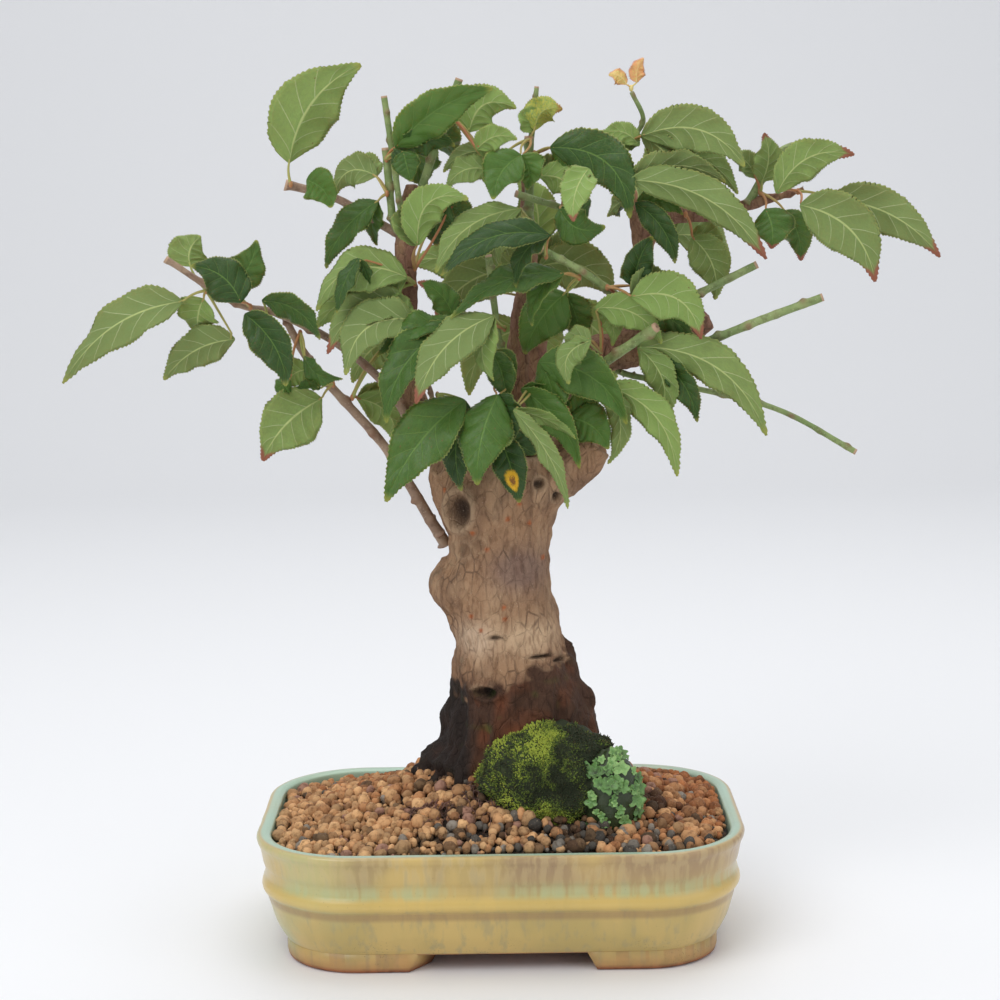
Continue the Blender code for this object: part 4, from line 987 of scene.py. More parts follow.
def feet_piece(paint):
    """Feet: a band of the pot's outline with a rounded section, cut to four corners."""
    skin = Skin()
    ring = outline(FOOT_TAPER + 0.0009, 720)
    inner = outline(FOOT_TAPER + FOOT_BAND, 720)
    section = [(0.0, 0.0115), (0.0, 0.0030), (0.0006, 0.0010), (0.0022, 0.0), (0.25, 0.0),
               (0.75, 0.0), (0.97, 0.0003), (1.0, 0.0015), (1.0, 0.0115)]
    for sx, sy in ((1, 1), (-1, 1), (-1, -1), (1, -1)):
        keep = (ring[:, 0] * sx > FOOT_GAP_LENGTH / 2) & (ring[:, 1] * sy > FOOT_GAP_WIDTH / 2)
        start = np.flatnonzero(keep & ~np.roll(keep, 1))[0]
        order = (start + np.arange(keep.sum())) % 720
        out, back = ring[order], inner[order]
        thick = np.linalg.norm(back - out, axis=1)[:, None]
        way = (back - out) / thick
        rows = []
        for share, z in section:
            depth = share if share < 0.01 else share * FOOT_BAND
            rows.append(np.column_stack([out + way * min(depth, FOOT_BAND),
                                         np.full(len(out), z)]))
        grid = np.stack(rows, 1)
        lean = FOOT_SLANT * grid[:, :, 2]
        for end, toward in ((0, grid[0] - grid[8]), (-1, grid[-1] - grid[-9])):
            toward = toward / np.maximum(np.linalg.norm(toward, axis=1)[:, None], 1e-9)
            toward[:, 2] = 0
            grid[end] += toward * lean[end][:, None]
        points, quads, tris = closed_grid(grid)
        clay = np.clip((0.0042 - points[:, 2]) / 0.0022, 0, 1)
        clay = np.maximum(clay, 0.35 * (lattice_noise(points, 0.006, 2.0) > 0.2))
        skin.add(points, quads, tris, rim=0.0, edge=0.0, bare=clay)
    thing = skin.make("pot_feet", paint)
    right_way(thing)
    place(thing, "pot_glaze", "pot")


def right_way(thing):
    """Merges doubles and turns each closed skin's faces outwards."""
    shape = bmesh.new()
    shape.from_mesh(thing.data)
    bmesh.ops.remove_doubles(shape, verts=shape.verts, dist=1e-6)
    bmesh.ops.recalc_face_normals(shape, faces=shape.faces)
    shape.to_mesh(thing.data)
    shape.free()


def drain_pieces(paint):
    """Drain meshes: two crossed sets of round plastic bars."""
    for name, side in (("drain_mesh_left", -1), ("drain_mesh_right", 1)):
        skin = Skin()
        for offset in np.linspace(-MESH_SIZE / 2, MESH_SIZE / 2, 10):
            for turned in (0, 1):
                ends = np.linspace(-MESH_SIZE / 2 - 0.0004, MESH_SIZE / 2 + 0.0004, 24)
                z = np.full(24, FLOOR_TOP + GAP + 0.0006)
                z = z + 0.00018 * np.sin(ends * 2000 + offset * 900) * (1 - 2 * turned)
                flat = np.column_stack([np.full(24, offset), ends] if turned else
                                       [ends, np.full(24, offset)])
                line = np.column_stack([flat[:, 0] + side * DRAIN_OFFSET, flat[:, 1], z])
                skin.add(*closed_grid(tube_grid(line, np.full(24, 0.00042), 8)))
        place(skin.make(name + "_bars", paint), "drain_net", name)


def inside_wall(x, y, margin):
    """Distance inside the pot's inner wall, positive inside."""
    corner = POT_CORNER - WALL
    dx = np.abs(x) - (POT_LENGTH / 2 - WALL - corner)
    dy = np.abs(y) - (POT_WIDTH / 2 - WALL - corner)
    outside = np.hypot(np.maximum(dx, 0), np.maximum(dy, 0)) + np.minimum(np.maximum(dx, dy), 0)
    return corner - outside - margin


def soil_piece(paint):
    """Bed of fine dark soil: the heap's height over rings that shrink to its crest."""
    edge = outline(WALL + 0.0014, 200)
    share = np.linspace(1, 0.0, 90)[:, None, None]
    flat = edge[None] * share + np.array([HEAP_X, HEAP_Y]) * (1 - share)
    z = soil_height(flat[:, :, 0], flat[:, :, 1]) - 0.0022
    top = np.concatenate([flat, z[:, :, None]], axis=2)
    points = top.reshape(-1, 3)
    rough = lattice_noise(points, 0.007, 1.0) * 0.0010 + lattice_noise(points, 0.003, 2.0) * 0.0006
    points[:, 2] += rough
    top = points.reshape(top.shape)[:-1]
    lower = []
    for inset, height in ((WALL + 0.016, FLOOR_TOP + GAP), (WALL + 0.012, FLOOR_TOP + 0.0035),
                          (WALL + 0.0058, BELT_HEIGHT - 0.004), (WALL + 0.0016, POT_HEIGHT - 0.0125)):
        lower.append(np.column_stack([outline(inset, 200), np.full(200, height)]))
    rings = np.concatenate([np.stack(lower), top])
    skin = Skin()
    skin.add(*closed_grid(rings))
    place(skin.make("soil_bed", paint), "akadama_soil", "soil")


def ball(segments, rows):
    """Directions over a sphere: rings between two poles, with its faces."""
    tilt = np.linspace(0, np.pi, rows + 2)[1:-1, None]
    ring = direction(np.linspace(0, 2 * np.pi, segments, endpoint=False), tilt)
    points = np.concatenate([ring.reshape(-1, 3), [[0, 0, 1]], [[0, 0, -1]]])
    column = np.arange(segments)
    ahead = (column + 1) % segments
    base = (rows - 1) * segments
    top = np.stack([np.full(segments, rows * segments), column, ahead], -1)
    end = np.stack([np.full(segments, rows * segments + 1), base + ahead, base + column], -1)
    return points, grid_faces(rows, segments)[:, ::-1], np.concatenate([top, end])


def repeated(faces, copies, size):
    """The same faces for each of many like shapes, whose points follow one another."""
    return (faces[None] + np.arange(copies)[:, None, None] * size).reshape(-1, faces.shape[1])


def scatter(spacing, seed):
    """Places over the soil: a jittered triangular grid, thinned to the open ground."""
    x = np.arange(-POT_LENGTH / 2, POT_LENGTH / 2, spacing)
    y = np.arange(-POT_WIDTH / 2, POT_WIDTH / 2, spacing * 0.87)
    xx, yy = np.meshgrid(x, y)
    xx = xx + spacing / 2 * (np.arange(len(y)) % 2)[:, None]
    xx, yy = xx.ravel(), yy.ravel()
    number = np.arange(len(xx))
    xx = xx + (hashed(number, seed) - 0.5) * spacing * 0.9
    yy = yy + (hashed(number, seed + 1) - 0.5) * spacing * 0.9
    open_ground = inside_wall(xx, yy, 0.0030) > 0
    trunk = np.hypot((xx - 0.0095) / 0.0420, (yy - 0.002) / 0.0350) < 1.0
    moss = np.hypot((xx - 0.026) / 0.036, (yy + 0.0305) / 0.0225) < 1.0
    keep = open_ground & ~trunk & ~moss
    return xx[keep], yy[keep], number[keep]


def granules_piece(settings, paint):
    """Granules: balls cut by random planes, each a little turned, sized and coloured."""
    base, quads, tris = ball(7, 4)
    skin = Skin()
    layers = ((0.0058, 1.15, 0.0004, 11.0), (0.0066, 0.80, -0.0006, 31.0),
              (0.0046, 0.66, -0.0012, 51.0))
    for spacing, size, lift, seed in layers:
        x, y, number = scatter(spacing, seed)
        n = len(x)
        pick = hashed(number, seed + 2)
        radius = settings.granule * size * (0.62 + 0.62 * hashed(number, seed + 3) ** 1.5)
        z = soil_height(x, y) + lift + radius * 0.15 + 0.0008 * hashed(number, seed + 4)
        push = np.minimum(inside_wall(x, y, 0.0) - radius, 0.0)
        x, y = x + np.sign(x) * push * 0.7, y + np.sign(y) * push * 0.7
        stretch = 0.78 + 0.44 * np.stack([hashed(number, seed + k) for k in (5, 6, 7)], -1)
        reach = np.full((n, len(base)), 1.0)
        for cut in range(9):
            normal = np.stack([hashed(number, seed + 8 + cut * 3 + k) - 0.5 for k in (0, 1, 2)], -1)
            facing = unit(normal) @ base.T
            depth = 0.70 + 0.24 * hashed(number, seed + 40 + cut)[:, None]
            limit = np.where(facing > 0.25, depth / np.maximum(facing, 0.25), 9.0)
            reach = np.minimum(reach, limit)
        bumps = base[None] * reach[:, :, None]
        rough = hashed(np.arange(len(base))[None] * 7.3 + number[:, None] * 3.1, seed) - 0.5
        bumps = bumps * (1 + 0.10 * rough)[:, :, None] * stretch[:, None]
        turn = hashed(number, seed + 60) * 6.28
        cos, sin = np.cos(turn)[:, None], np.sin(turn)[:, None]
        turned = np.stack([bumps[:, :, 0] * cos - bumps[:, :, 1] * sin,
                           bumps[:, :, 0] * sin + bumps[:, :, 1] * cos, bumps[:, :, 2]], -1)
        points = turned * radius[:, None, None] + np.stack([x, y, z], -1)[:, None]
        warm = np.clip(0.55 + (x * 3.0 + y * 5.0) + (hashed(number, seed + 61) - 0.5) * 0.9, 0, 1)
        tint = np.array(settings.tan) * (1 - warm[:, None]) + np.array(settings.rust) * warm[:, None]
        tint = tint * (0.62 + 0.60 * hashed(number, seed + 62))[:, None]
        spot = np.stack([x, y, z], -1)
        damp = lattice_noise(spot, 0.019, seed) * 0.6 + lattice_noise(spot, 0.009, 3.0) * 0.6
        near = np.exp(-((x - 0.02) / 0.055) ** 2 - ((y + 0.056) / 0.026) ** 2)
        damp = np.clip((damp + near * 0.55 - 0.30) * 4.0, 0, 1)[:, None]
        tint = tint * (1 - 0.82 * damp)
        gritty = np.clip(-y * 9.0 + x * 2.2 - 0.30, 0.03, 0.62)
        grey = pick < gritty * 0.55
        shade = 0.05 + 0.28 * hashed(number, seed + 63)[:, None] ** 1.6
        stone = np.array([1.0, 0.86, 0.70]) * shade
        tint = np.where(grey[:, None], stone, tint)
        pink = (pick > 0.965)[:, None]
        tint = np.where(pink, np.array([0.36, 0.19, 0.13]), tint)
        skin.add(points.reshape(-1, 3), repeated(quads, n, len(base)),
                 repeated(tris, n, len(base)), tint=np.repeat(tint, len(base), 0))
    place(skin.make("soil_granules", paint), "akadama_soil", "soil")


def roots_piece(paint):
    """Fine roots on the soil left of the trunk: thin lines that wander over the heap."""
    skin = Skin()
    for number in range(FINE_ROOTS):
        start = lay(-34 + 44 * hashed(number, 1.0) - 8, 92, -26 - 16 * hashed(number, 2.0))
        heading = -np.pi / 2 + (hashed(number, 3.0) - 0.5) * 2.6
        steps = np.arange(22)
        wander = heading + np.cumsum(hashed(steps + number * 40, 4.0) - 0.5) * 1.0
        flat = np.column_stack([np.cumsum(np.cos(wander)), np.cumsum(np.sin(wander))]) * 0.0011
        x, y = start[0] + flat[:, 0], start[1] + flat[:, 1]
        z = soil_height(x, y) + 0.0016 + 0.0014 * np.sin(steps * 0.9 + number)
        radii = np.linspace(0.00036, 0.00012, 22)
        skin.add(*closed_grid(tube_grid(np.column_stack([x, y, z]), radii, 5)), cut=0.0, knot=0.0)
    place(skin.make("fine_roots", paint), "akadama_soil", "soil")


# ---- Trunk, branches and shoots -----------------------------------------------------

GREEN_LIMBS = ("shoot_left_a", "shoot_centre_low", "shoot_centre_up", "shoot_centre_tip",
               "shoot_top_right", "shoot_top")
# Hollows and scars: across, up, half width, half height, depth in mm, and the darkness of the painted
# shade inside
HOLLOWS = [(-19, 222, 5.2, 7.8, 5.0, 0.85), (-31, 244, 3.2, 3.2, 1.2, 0.35),
           (-17, 201, 3.6, 3.2, 1.3, 0.3), (-9, 204, 3.0, 2.8, 1.1, 0.25),
           (17.5, 255, 6.5, 5.5, 5.0, 1.0), (22, 236, 2.7, 2.6, 2.2, 0.9),
           (31, 229, 2.0, 2.6, 2.0, 0.9), (-5, 128, 5.2, 2.8, 4.6, 1.0),
           (-0.6, 156.5, 3.8, 0.9, 1.6, 0.9), (22.7, 146, 5.2, 0.9, 2.0, 0.9),
           (33, 143, 4.0, 1.0, 1.8, 0.8)]
DOTS = [(-4.7, 202), (4, 172), (4.6, 166), (-13, 167), (-7.8, 160), (-20, 236), (-12.5, 210),
        (17, 215.5), (6, 218), (-27, 232), (24, 196), (12, 226)]


def remeshed(skin, voxel):
    """One even skin round overlapping closed ones, by a voxel remesh."""
    rough = skin.make("remesh_source", None)
    rough.data.materials.clear()
    change = rough.modifiers.new("Remesh", "REMESH")
    change.mode = "VOXEL"
    change.voxel_size = voxel
    ready = rough.evaluated_get(bpy.context.evaluated_depsgraph_get())
    mesh = bpy.data.meshes.new_from_object(ready)
    bpy.data.objects.remove(rough)
    co = np.zeros(len(mesh.vertices) * 3, np.float32)
    mesh.vertices.foreach_get("co", co)
    corner = np.zeros(len(mesh.loops), np.int32)
    mesh.loops.foreach_get("vertex_index", corner)
    total = np.zeros(len(mesh.polygons), np.int32)
    mesh.polygons.foreach_get("loop_total", total)
    edges = np.zeros(len(mesh.edges) * 2, np.int32)
    mesh.edges.foreach_get("vertices", edges)
    bpy.data.meshes.remove(mesh)
    starts = np.cumsum(total) - total
    quads = corner[starts[total == 4][:, None] + np.arange(4)]
    tris = corner[starts[total == 3][:, None] + np.arange(3)]
    return co.reshape(-1, 3).astype(float), quads, tris, edges.reshape(-1, 2)


def smoothed(points, edges, rounds):
    """Each point moved towards the mean of its neighbours, several times."""
    degree = np.bincount(edges.ravel(), minlength=len(points))[:, None]
    for _ in range(rounds):
        total = np.zeros_like(points)
        for axis in range(3):
            total[:, axis] = np.bincount(edges[:, 0], points[edges[:, 1], axis], len(points))
            total[:, axis] += np.bincount(edges[:, 1], points[edges[:, 0], axis], len(points))
        points = points * 0.4 + total / degree * 0.6
    return points


def skin_normals(points, quads, tris):
    """Outward direction at each point: the sum of the cross products of its faces."""
    normal = np.zeros_like(points)
    for faces in (quads, tris):
        if len(faces):
            a, b, c = points[faces[:, 0]], points[faces[:, 1]], points[faces[:, -1]]
            cross = np.cross(b - a, c - a)
            for corner in range(faces.shape[1]):
                np.add.at(normal, faces[:, corner], cross)
    return normal / np.maximum(np.linalg.norm(normal, axis=1)[:, None], 1e-12)


def wood_line(line, count):
    """Middle line and radii of a piece of wood, smooth through its laid-out points."""
    rows = eased([[*lay(a, u, d), r * MM] for a, u, d, r in line], count)
    return rows[:, :3], rows[:, 3]


def trunk_piece(settings, paint):
    """Trunk and thick limbs: rings and tubes grown into one skin, then ridges and scars."""
    grown = Skin()
    sets = [np.stack(trunk_rings(0.0, 64))]
    for name, line in LIMBS.items():
        if name in GREEN_LIMBS:
            continue
        sets.append(tube_grid(*wood_line(line, 60), 24))
    for grid in sets:
        grown.add(*closed_grid(grid))
    points, quads, tris, edges = remeshed(grown, settings.voxel)
    points = smoothed(points, edges, 6)
    normal = skin_normals(points, quads, tris)
    x, y, z = points.T
    thick = np.clip(1 - (z - 0.245) / 0.05, 0.35, 1.0)
    torn = lattice_noise(points, 0.013, 6.0) + 1.1 * lattice_noise(points, 0.0042, 16.0)
    base_line = lay(0, 138, -25)[2] + 0.0075 * torn + np.clip(x - 0.010, -0.02, 0.02) * 0.45
    low = np.clip((base_line - z) / 0.0045, 0, 1)
    calm = np.exp(-((x - 0.004) / 0.021) ** 4 - ((z - 0.183) / 0.036) ** 4) * (y < 0)
    tall = points * [1, 1, 0.42]
    ridge = 1 - np.abs(lattice_noise(tall + lattice_noise(points, 0.012, 7)[:, None] * 0.004, 0.011, 1))
    lumps = lattice_noise(points, 0.021, 2.0)
    plates = lattice_noise(tall, 0.0052, 3.0)
    grit = lattice_noise(points, 0.0024, 4.0)
    move = (lumps * 1.7 + (ridge - 0.6) * (2.0 + 2.2 * low)) * thick * (1 - 0.62 * calm)
    move = move * (1 + 0.7 * np.clip(1 - np.abs(normal[:, 1]) * 1.6, 0, 1))
    move = move + (plates * (0.85 + 1.9 * low) + grit * 0.45) * (1 - 0.6 * calm)
    front = np.clip(-normal[:, 1] * 2.2, 0, 1)
    hollow_shade, callus, dots = np.zeros(len(x)), np.zeros(len(x)), np.zeros(len(x))
    # Each hollow is sunk into the bark with a raised lip, and its inside gets painted shade.
    for across, up, wide, tall_, deep, shade in HOLLOWS:
        spot = lay(across, up, -24)
        r = np.hypot((x - spot[0]) / (wide * MM), (z - spot[2]) / (tall_ * MM))
        hole, lip = np.exp(-r ** 4) * front, np.exp(-((r - 1.35) / 0.38) ** 2) * front
        move = move * (1 - np.maximum(hole, lip * 0.7)) - hole * deep + lip * deep * 0.55
        hollow_shade = np.maximum(hollow_shade, hole * shade)
        callus = np.maximum(callus, lip * min(deep / 3, 1))
    for across, up in DOTS:
        spot = lay(across, up, -25)
        r = np.hypot(x - spot[0], z - spot[2]) / 0.0012
        dots = np.maximum(dots, np.exp(-r ** 4) * front)
    points = points + normal * (move * MM)[:, None]

    def patch(across, up, wide, tall_):
        """Share of a soft oval spot on the front, 1 at its middle."""
        spot = lay(across, up, -25)
        return np.exp(-((x - spot[0]) / wide / MM) ** 2 - ((z - spot[2]) / tall_ / MM) ** 2) * front

    def mix(first, second, share):
        """Colour that goes from the first to the second as share goes from 0 to 1."""
        return first * (1 - share[:, None]) + np.asarray(second) * share[:, None]

    wood = np.full((len(x), 3), settings.bark[:])
    wood = mix(wood, (0.47, 0.305, 0.180), np.clip(plates * 0.9 + lumps * 0.6, 0, 1))
    wood = mix(wood, (0.15, 0.085, 0.052), np.clip((ridge - 0.80) * 4.0, 0, 1) * (0.75 - 0.6 * calm))
    wood = mix(wood, (0.185, 0.115, 0.095), np.clip(patch(12, 191, 14, 11) * 1.1, 0, 0.75))
    wood = mix(wood, (0.58, 0.40, 0.25), np.clip(patch(18, 155, 17, 8) * 1.2, 0, 0.9))
    wood = mix(wood, (0.62, 0.45, 0.31), np.clip(patch(-11, 155, 9, 8) * 1.2, 0, 0.85))
    wood = mix(wood, (0.46, 0.32, 0.20), callus * 0.7)
    above = np.exp(-np.clip(z - base_line, 0, 1) / 0.007) * (1 - low)
    wood = mix(wood, (0.19, 0.095, 0.052), above * np.clip(0.45 + plates * 1.3, 0, 0.9))
    damp = np.clip(0.5 + lattice_noise(points, 0.008, 8.0) * 1.2, 0, 1)
    wood = mix(wood, (0.060, 0.026, 0.014), low * 0.97)
    wood = mix(wood, (0.170, 0.052, 0.020), low * damp * np.clip((0.80 - ridge) * 4, 0, 1) * 0.8)
    wood = mix(wood, (0.016, 0.011, 0.009), low * np.clip((-0.012 - x) / 0.006, 0, 1) * 0.9)
    upper = np.clip((z - 0.262) / 0.03, 0, 1)
    wood = mix(wood, (0.27, 0.135, 0.095), upper * np.clip(0.55 + plates * 0.8, 0, 0.9))
    # Painted shade: the inside of each hollow is painted near black.
    wood = mix(wood, (0.018, 0.011, 0.008), hollow_shade)
    wood = mix(wood, (0.42, 0.095, 0.02), dots * 0.85)
    mossy = np.clip(lattice_noise(points, 0.006, 9.0) * 2.0 - 0.7, 0, 1) * low * front
    mossy = mossy * np.exp(-((x - 0.008) / 0.020) ** 2)
    wood = mix(wood, (0.085, 0.120, 0.02), mossy * 0.8)
    skin = Skin()
    skin.add(points, quads, tris, tint=wood, wet=low * 0.9)
    place(skin.make("trunk_bark", paint), "bark", "trunk")


def stem(skin, name, line, sides=16, gap=0.0115, cut=True):
    """Shoot: a tube through its points, swollen at each bud and cut off square."""
    track = np.array([lay(*row[:3]) for row in line])
    length = np.linalg.norm(np.diff(track, axis=0), axis=1).sum()
    count = max(int(length / 0.0006), 24)
    middle, radii = wood_line(line, count)
    seed = sum(ord(letter) for letter in name)
    walk = np.linspace(0, length, count)
    beat = walk / gap
    near = np.exp(-(((beat + 0.5) % 1.0 - 0.5) * gap / 0.0014) ** 2)
    angle = np.linspace(0, 2 * np.pi, sides, endpoint=False)
    face = np.floor(beat + 0.5) * 2.4 + seed
    toward = np.clip(np.cos(angle[None] - face[:, None]), 0, 1) ** 3
    swell = near[:, None] * (0.08 + 0.55 * toward)
    grid = tube_grid(middle, radii * 0.97, sides)
    wave = lattice_noise(grid.reshape(-1, 3), 0.004, seed).reshape(grid.shape[:2]) * 0.07
    out = grid - middle[:, None]
    grid = middle[:, None] + out * (1 + swell + wave)[:, :, None]
    points, quads, tris = closed_grid(grid)
    left = (length - walk) / 0.0016
    tip = np.repeat(np.clip(1 - left, 0, 0.75), sides)
    ends = np.concatenate([tip, [0.0], [1.0]]) if cut else np.zeros(len(points))
    knot = np.concatenate([(near[:, None] * (0.25 + toward)).ravel(), [0, 0]])
    skin.add(points, quads, tris, cut=ends, knot=np.clip(knot, 0, 1))


def branches_piece(paint):
    """Brown side branches, run on into the bark they grow from."""
    skin = Skin()
    names = ("branch_long_left", "branch_middle_left", "twig_upper_left", "dead_twig")
    inner = {"branch_long_left": (-26, 205, 8, 3.4), "branch_middle_left": (-42, 266, -4, 3.0),
             "twig_upper_left": (-48, 366, -4, 3.0), "dead_twig": (-36, 290, -6, 1.6)}
    for name in names:
        stem(skin, name, [inner[name]] + BRANCHES[name], 18, 0.013)
    place(skin.make("side_branches", paint), "young_bark", *names)


def shoots_piece(paint):
    """Green shoots, cut back to stubs, with the buds that stand along them."""
    skin = Skin()
    for name in GREEN_LIMBS:
        stem(skin, name, LIMBS[name])
    place(skin.make("grown_shoots", paint), "green_shoot", "trunk")
    skin = Skin()
    names = [n for n in BRANCHES if n.startswith("shoot") or n == "twig_right_low"]
    inner = {"shoot_left_b": (-47, 376, -8, 2.2), "shoot_left_c": (-44, 372, -6, 2.8),
             "shoot_front_top": (45, 378, -4, 2.0), "shoot_front": (74, 327, -4, 2.2),
             "shoot_low": (38, 288, -8, 3.0), "shoot_right_a": (94, 331, -6, 2.3),
             "shoot_right_b": (96, 306, -14, 2.6), "twig_right_low": (62, 296, -3, 1.8),
             "shoot_young": (66, 408, 3, 1.8)}
    for name in names:
        stem(skin, name, [inner[name]] + BRANCHES[name], 16, 0.0115, name != "shoot_young")
    place(skin.make("green_shoots", paint), "green_shoot", *names)


# ---- Moss and liverwort -------------------------------------------------------------

MOSS_PLACE = np.array([0.026, -0.0305, POT_HEIGHT + 0.0237])
MOSS_SIZE = np.array([0.039, 0.026, 0.032])
MOSS_TUFTS = 9500
WORT_PLACE = np.array([0.055, -0.043, POT_HEIGHT + 0.018])
WORT_SIZE = np.array([0.016, 0.015, 0.026])
FRONDS = 74


def moss_point(turn, tilt):
    """Point and outward direction on the uneven mound at two angles."""
    way = direction(turn, tilt)
    wave = 1.0 + 0.05 * np.sin(5 * way[..., 0] + 2) * np.cos(4 * way[..., 2] + 1)
    point = MOSS_PLACE + way * MOSS_SIZE * wave[..., None]
    return point, unit(way / MOSS_SIZE)


def moss_lumps(points):
    """Rise of the moss over its mound: cushions of three sizes with hollows between."""
    sizes = ((0.017, 3.0, 0.0034), (0.008, 5.0, 0.0022), (0.003, 5.0, 0.0009))
    return sum(lattice_noise(points, size, seed) * rise for size, seed, rise in sizes)


def moss_pieces(paint):
    """Moss: a lumpy mound under thousands of short bent tufts."""
    turn, tilt = np.meshgrid(np.linspace(0, 2 * np.pi, 110, endpoint=False),
                             np.linspace(0.04, np.pi - 0.04, 70))
    point, out = moss_point(turn, tilt)
    flat = point.reshape(-1, 3)
    lumps = moss_lumps(flat)
    grid = (flat + out.reshape(-1, 3) * (lumps - 0.0016)[:, None]).reshape(point.shape)
    points, quads, tris = closed_grid(grid)
    skin = Skin()
    # Painted light and shade: the mound is painted lighter on its cushions and darker in the hollows
    # between them.
    shade = np.concatenate([0.05 + lumps * 60, [0.1, 0.1]])
    skin.add(points, quads[:, ::-1], tris[:, ::-1], shade=shade)
    place(skin.make("moss_mound", paint), "moss", "moss")
    number = np.arange(MOSS_TUFTS)
    turn = np.pi + np.pi * hashed(number, 1.0)
    turn = turn + 0.35 * np.sin(turn * 2)
    tilt = np.arccos(1 - 1.7 * hashed(number, 2.0))
    base, out = moss_point(turn, tilt)
    lumps = moss_lumps(base)
    base = base + out * (lumps - 0.0020)[:, None]
    bend = np.stack([hashed(number, k) - 0.5 for k in (3, 4, 5)], -1)
    way = unit(out + bend * 1.3 + [0, 0, 0.35])
    height = 0.0008 + 0.0013 * hashed(number, 6.0)
    side, other = square_to(way, [0.3, 0.2, 0.9])
    angle = (np.arange(4) * np.pi / 2)[None, :, None]
    round_ = np.cos(angle) * side[:, None] + np.sin(angle) * other[:, None]
    wide = (0.00034 + 0.00022 * hashed(number, 7.0))[:, None, None]
    ring = base[:, None] + round_ * wide
    middle = base + way * height[:, None] * 0.55
    second = middle[:, None] + round_ * wide * 0.85
    tip = base + (way + bend * 0.5) * height[:, None]
    cloud = np.concatenate([ring, second, tip[:, None], (base - way * 0.0004)[:, None]], 1)
    quads = np.array([(i, (i + 1) % 4, 4 + (i + 1) % 4, 4 + i) for i in range(4)])
    tris = np.array([(8, 4 + i, 4 + (i + 1) % 4) for i in range(4)]
                    + [(9, (i + 1) % 4, i) for i in range(4)])
    # Tuft shade: the moss's own tone, which varies at random and across the mound, plus painted light
    # on the cushions and painted shade in the hollows between them.
    bright = lattice_noise(base, 0.010, 9.0) * 0.75 + 0.50 + (hashed(number, 8.0) - 0.5) * 0.6
    bright = bright + lumps * 90 + np.exp(-((base[:, 0] - 0.010) / 0.014) ** 2) * 0.25
    bright = bright + lattice_noise(base, 0.0045, 12.0) * 0.55
    bright = bright - np.clip((base[:, 0] - 0.022) * 26, 0, 0.65)
    shade = np.repeat(bright[:, None], 10, 1)
    # Each tuft is lighter at its tip, the fresh tip's own tone, and darker at its foot, which is
    # painted shade.
    shade[:, 8] += 0.35
    shade[:, 9] -= 0.4
    skin = Skin()
    skin.add(cloud.reshape(-1, 3), repeated(quads, MOSS_TUFTS, 10), repeated(tris, MOSS_TUFTS, 10),
             shade=shade.ravel())
    place(skin.make("moss_tufts", paint), "moss", "moss")


def liverwort_piece(paint):
    """Liverwort: overlapping notched fronds, each a dished disc whose rim is lobed."""
    skin = Skin()
    turn = np.linspace(0, 2 * np.pi, 28, endpoint=False)
    share = np.linspace(0.06, 1, 7)[:, None]
    for number in range(FRONDS):
        a = np.pi + np.pi * (0.05 + 1.0 * hashed(number, 1.0))
        b = np.arccos(1 - 1.75 * hashed(number, 2.0))
        way = direction(a, b)
        base = WORT_PLACE + way * (WORT_SIZE * 0.99) * (0.96 + 0.07 * hashed(number, 3.0))
        out = unit(way / (WORT_SIZE * 0.99))
        out = unit(out + 0.9 * np.array([hashed(number, 4.0) - 0.5, -0.9, 0.35]))
        side, other = square_to(out, [0.2, 0.5, 0.8])
        radius = 0.0016 + 0.0027 * hashed(number, 5.0) ** 1.4
        phase = hashed(number, 6.0) * 6.28
        lobes = 1 + 0.16 * np.cos(5 * turn + phase) + 0.22 * np.cos(turn - phase)
        lobes = lobes + 0.05 * np.cos(11 * turn)
        notch = 1 - 0.45 * np.exp(-((np.angle(np.exp(1j * (turn - phase)))) / 0.28) ** 2)
        reach = radius * lobes * notch * share
        dish = (reach / radius) ** 2 * radius * 0.14 + 0.0004 * np.sin(4 * turn + phase) * share
        flat = side * (reach * np.cos(turn))[..., None] + other * (reach * np.sin(turn))[..., None]
        top = base + flat + out * (dish + 0.0003)[..., None]
        low = base + flat * 0.985 + out * (dish - 0.00025)[..., None]
        points, quads, tris = closed_grid(np.concatenate([low, top[::-1]]))
        tone = 0.25 + 0.9 * hashed(number, 7.0)
        ramp = np.concatenate([np.repeat(share.ravel(), 28), np.repeat(share.ravel()[::-1], 28),
                               [0, 0]])
        skin.add(points, quads[:, ::-1], tris[:, ::-1], shade=tone * 0.7 + ramp * 0.35)
    turn, tilt = np.meshgrid(np.linspace(0, 2 * np.pi, 60, endpoint=False),
                             np.linspace(0.05, np.pi - 0.05, 44))
    way = direction(turn, tilt)
    rough = lattice_noise((way * WORT_SIZE).reshape(-1, 3), 0.0035, 4.0).reshape(turn.shape)
    cushion = WORT_PLACE + way * WORT_SIZE * (0.93 + 0.05 * rough)[..., None]
    points, quads, tris = closed_grid(cushion)
    skin.add(points, quads, tris, shade=-0.35)
    thing = skin.make("liverwort_fronds", paint)
    right_way(thing)
    place(thing, "liverwort", "liverwort")


# ---- Leaves -------------------------------------------------------------------------

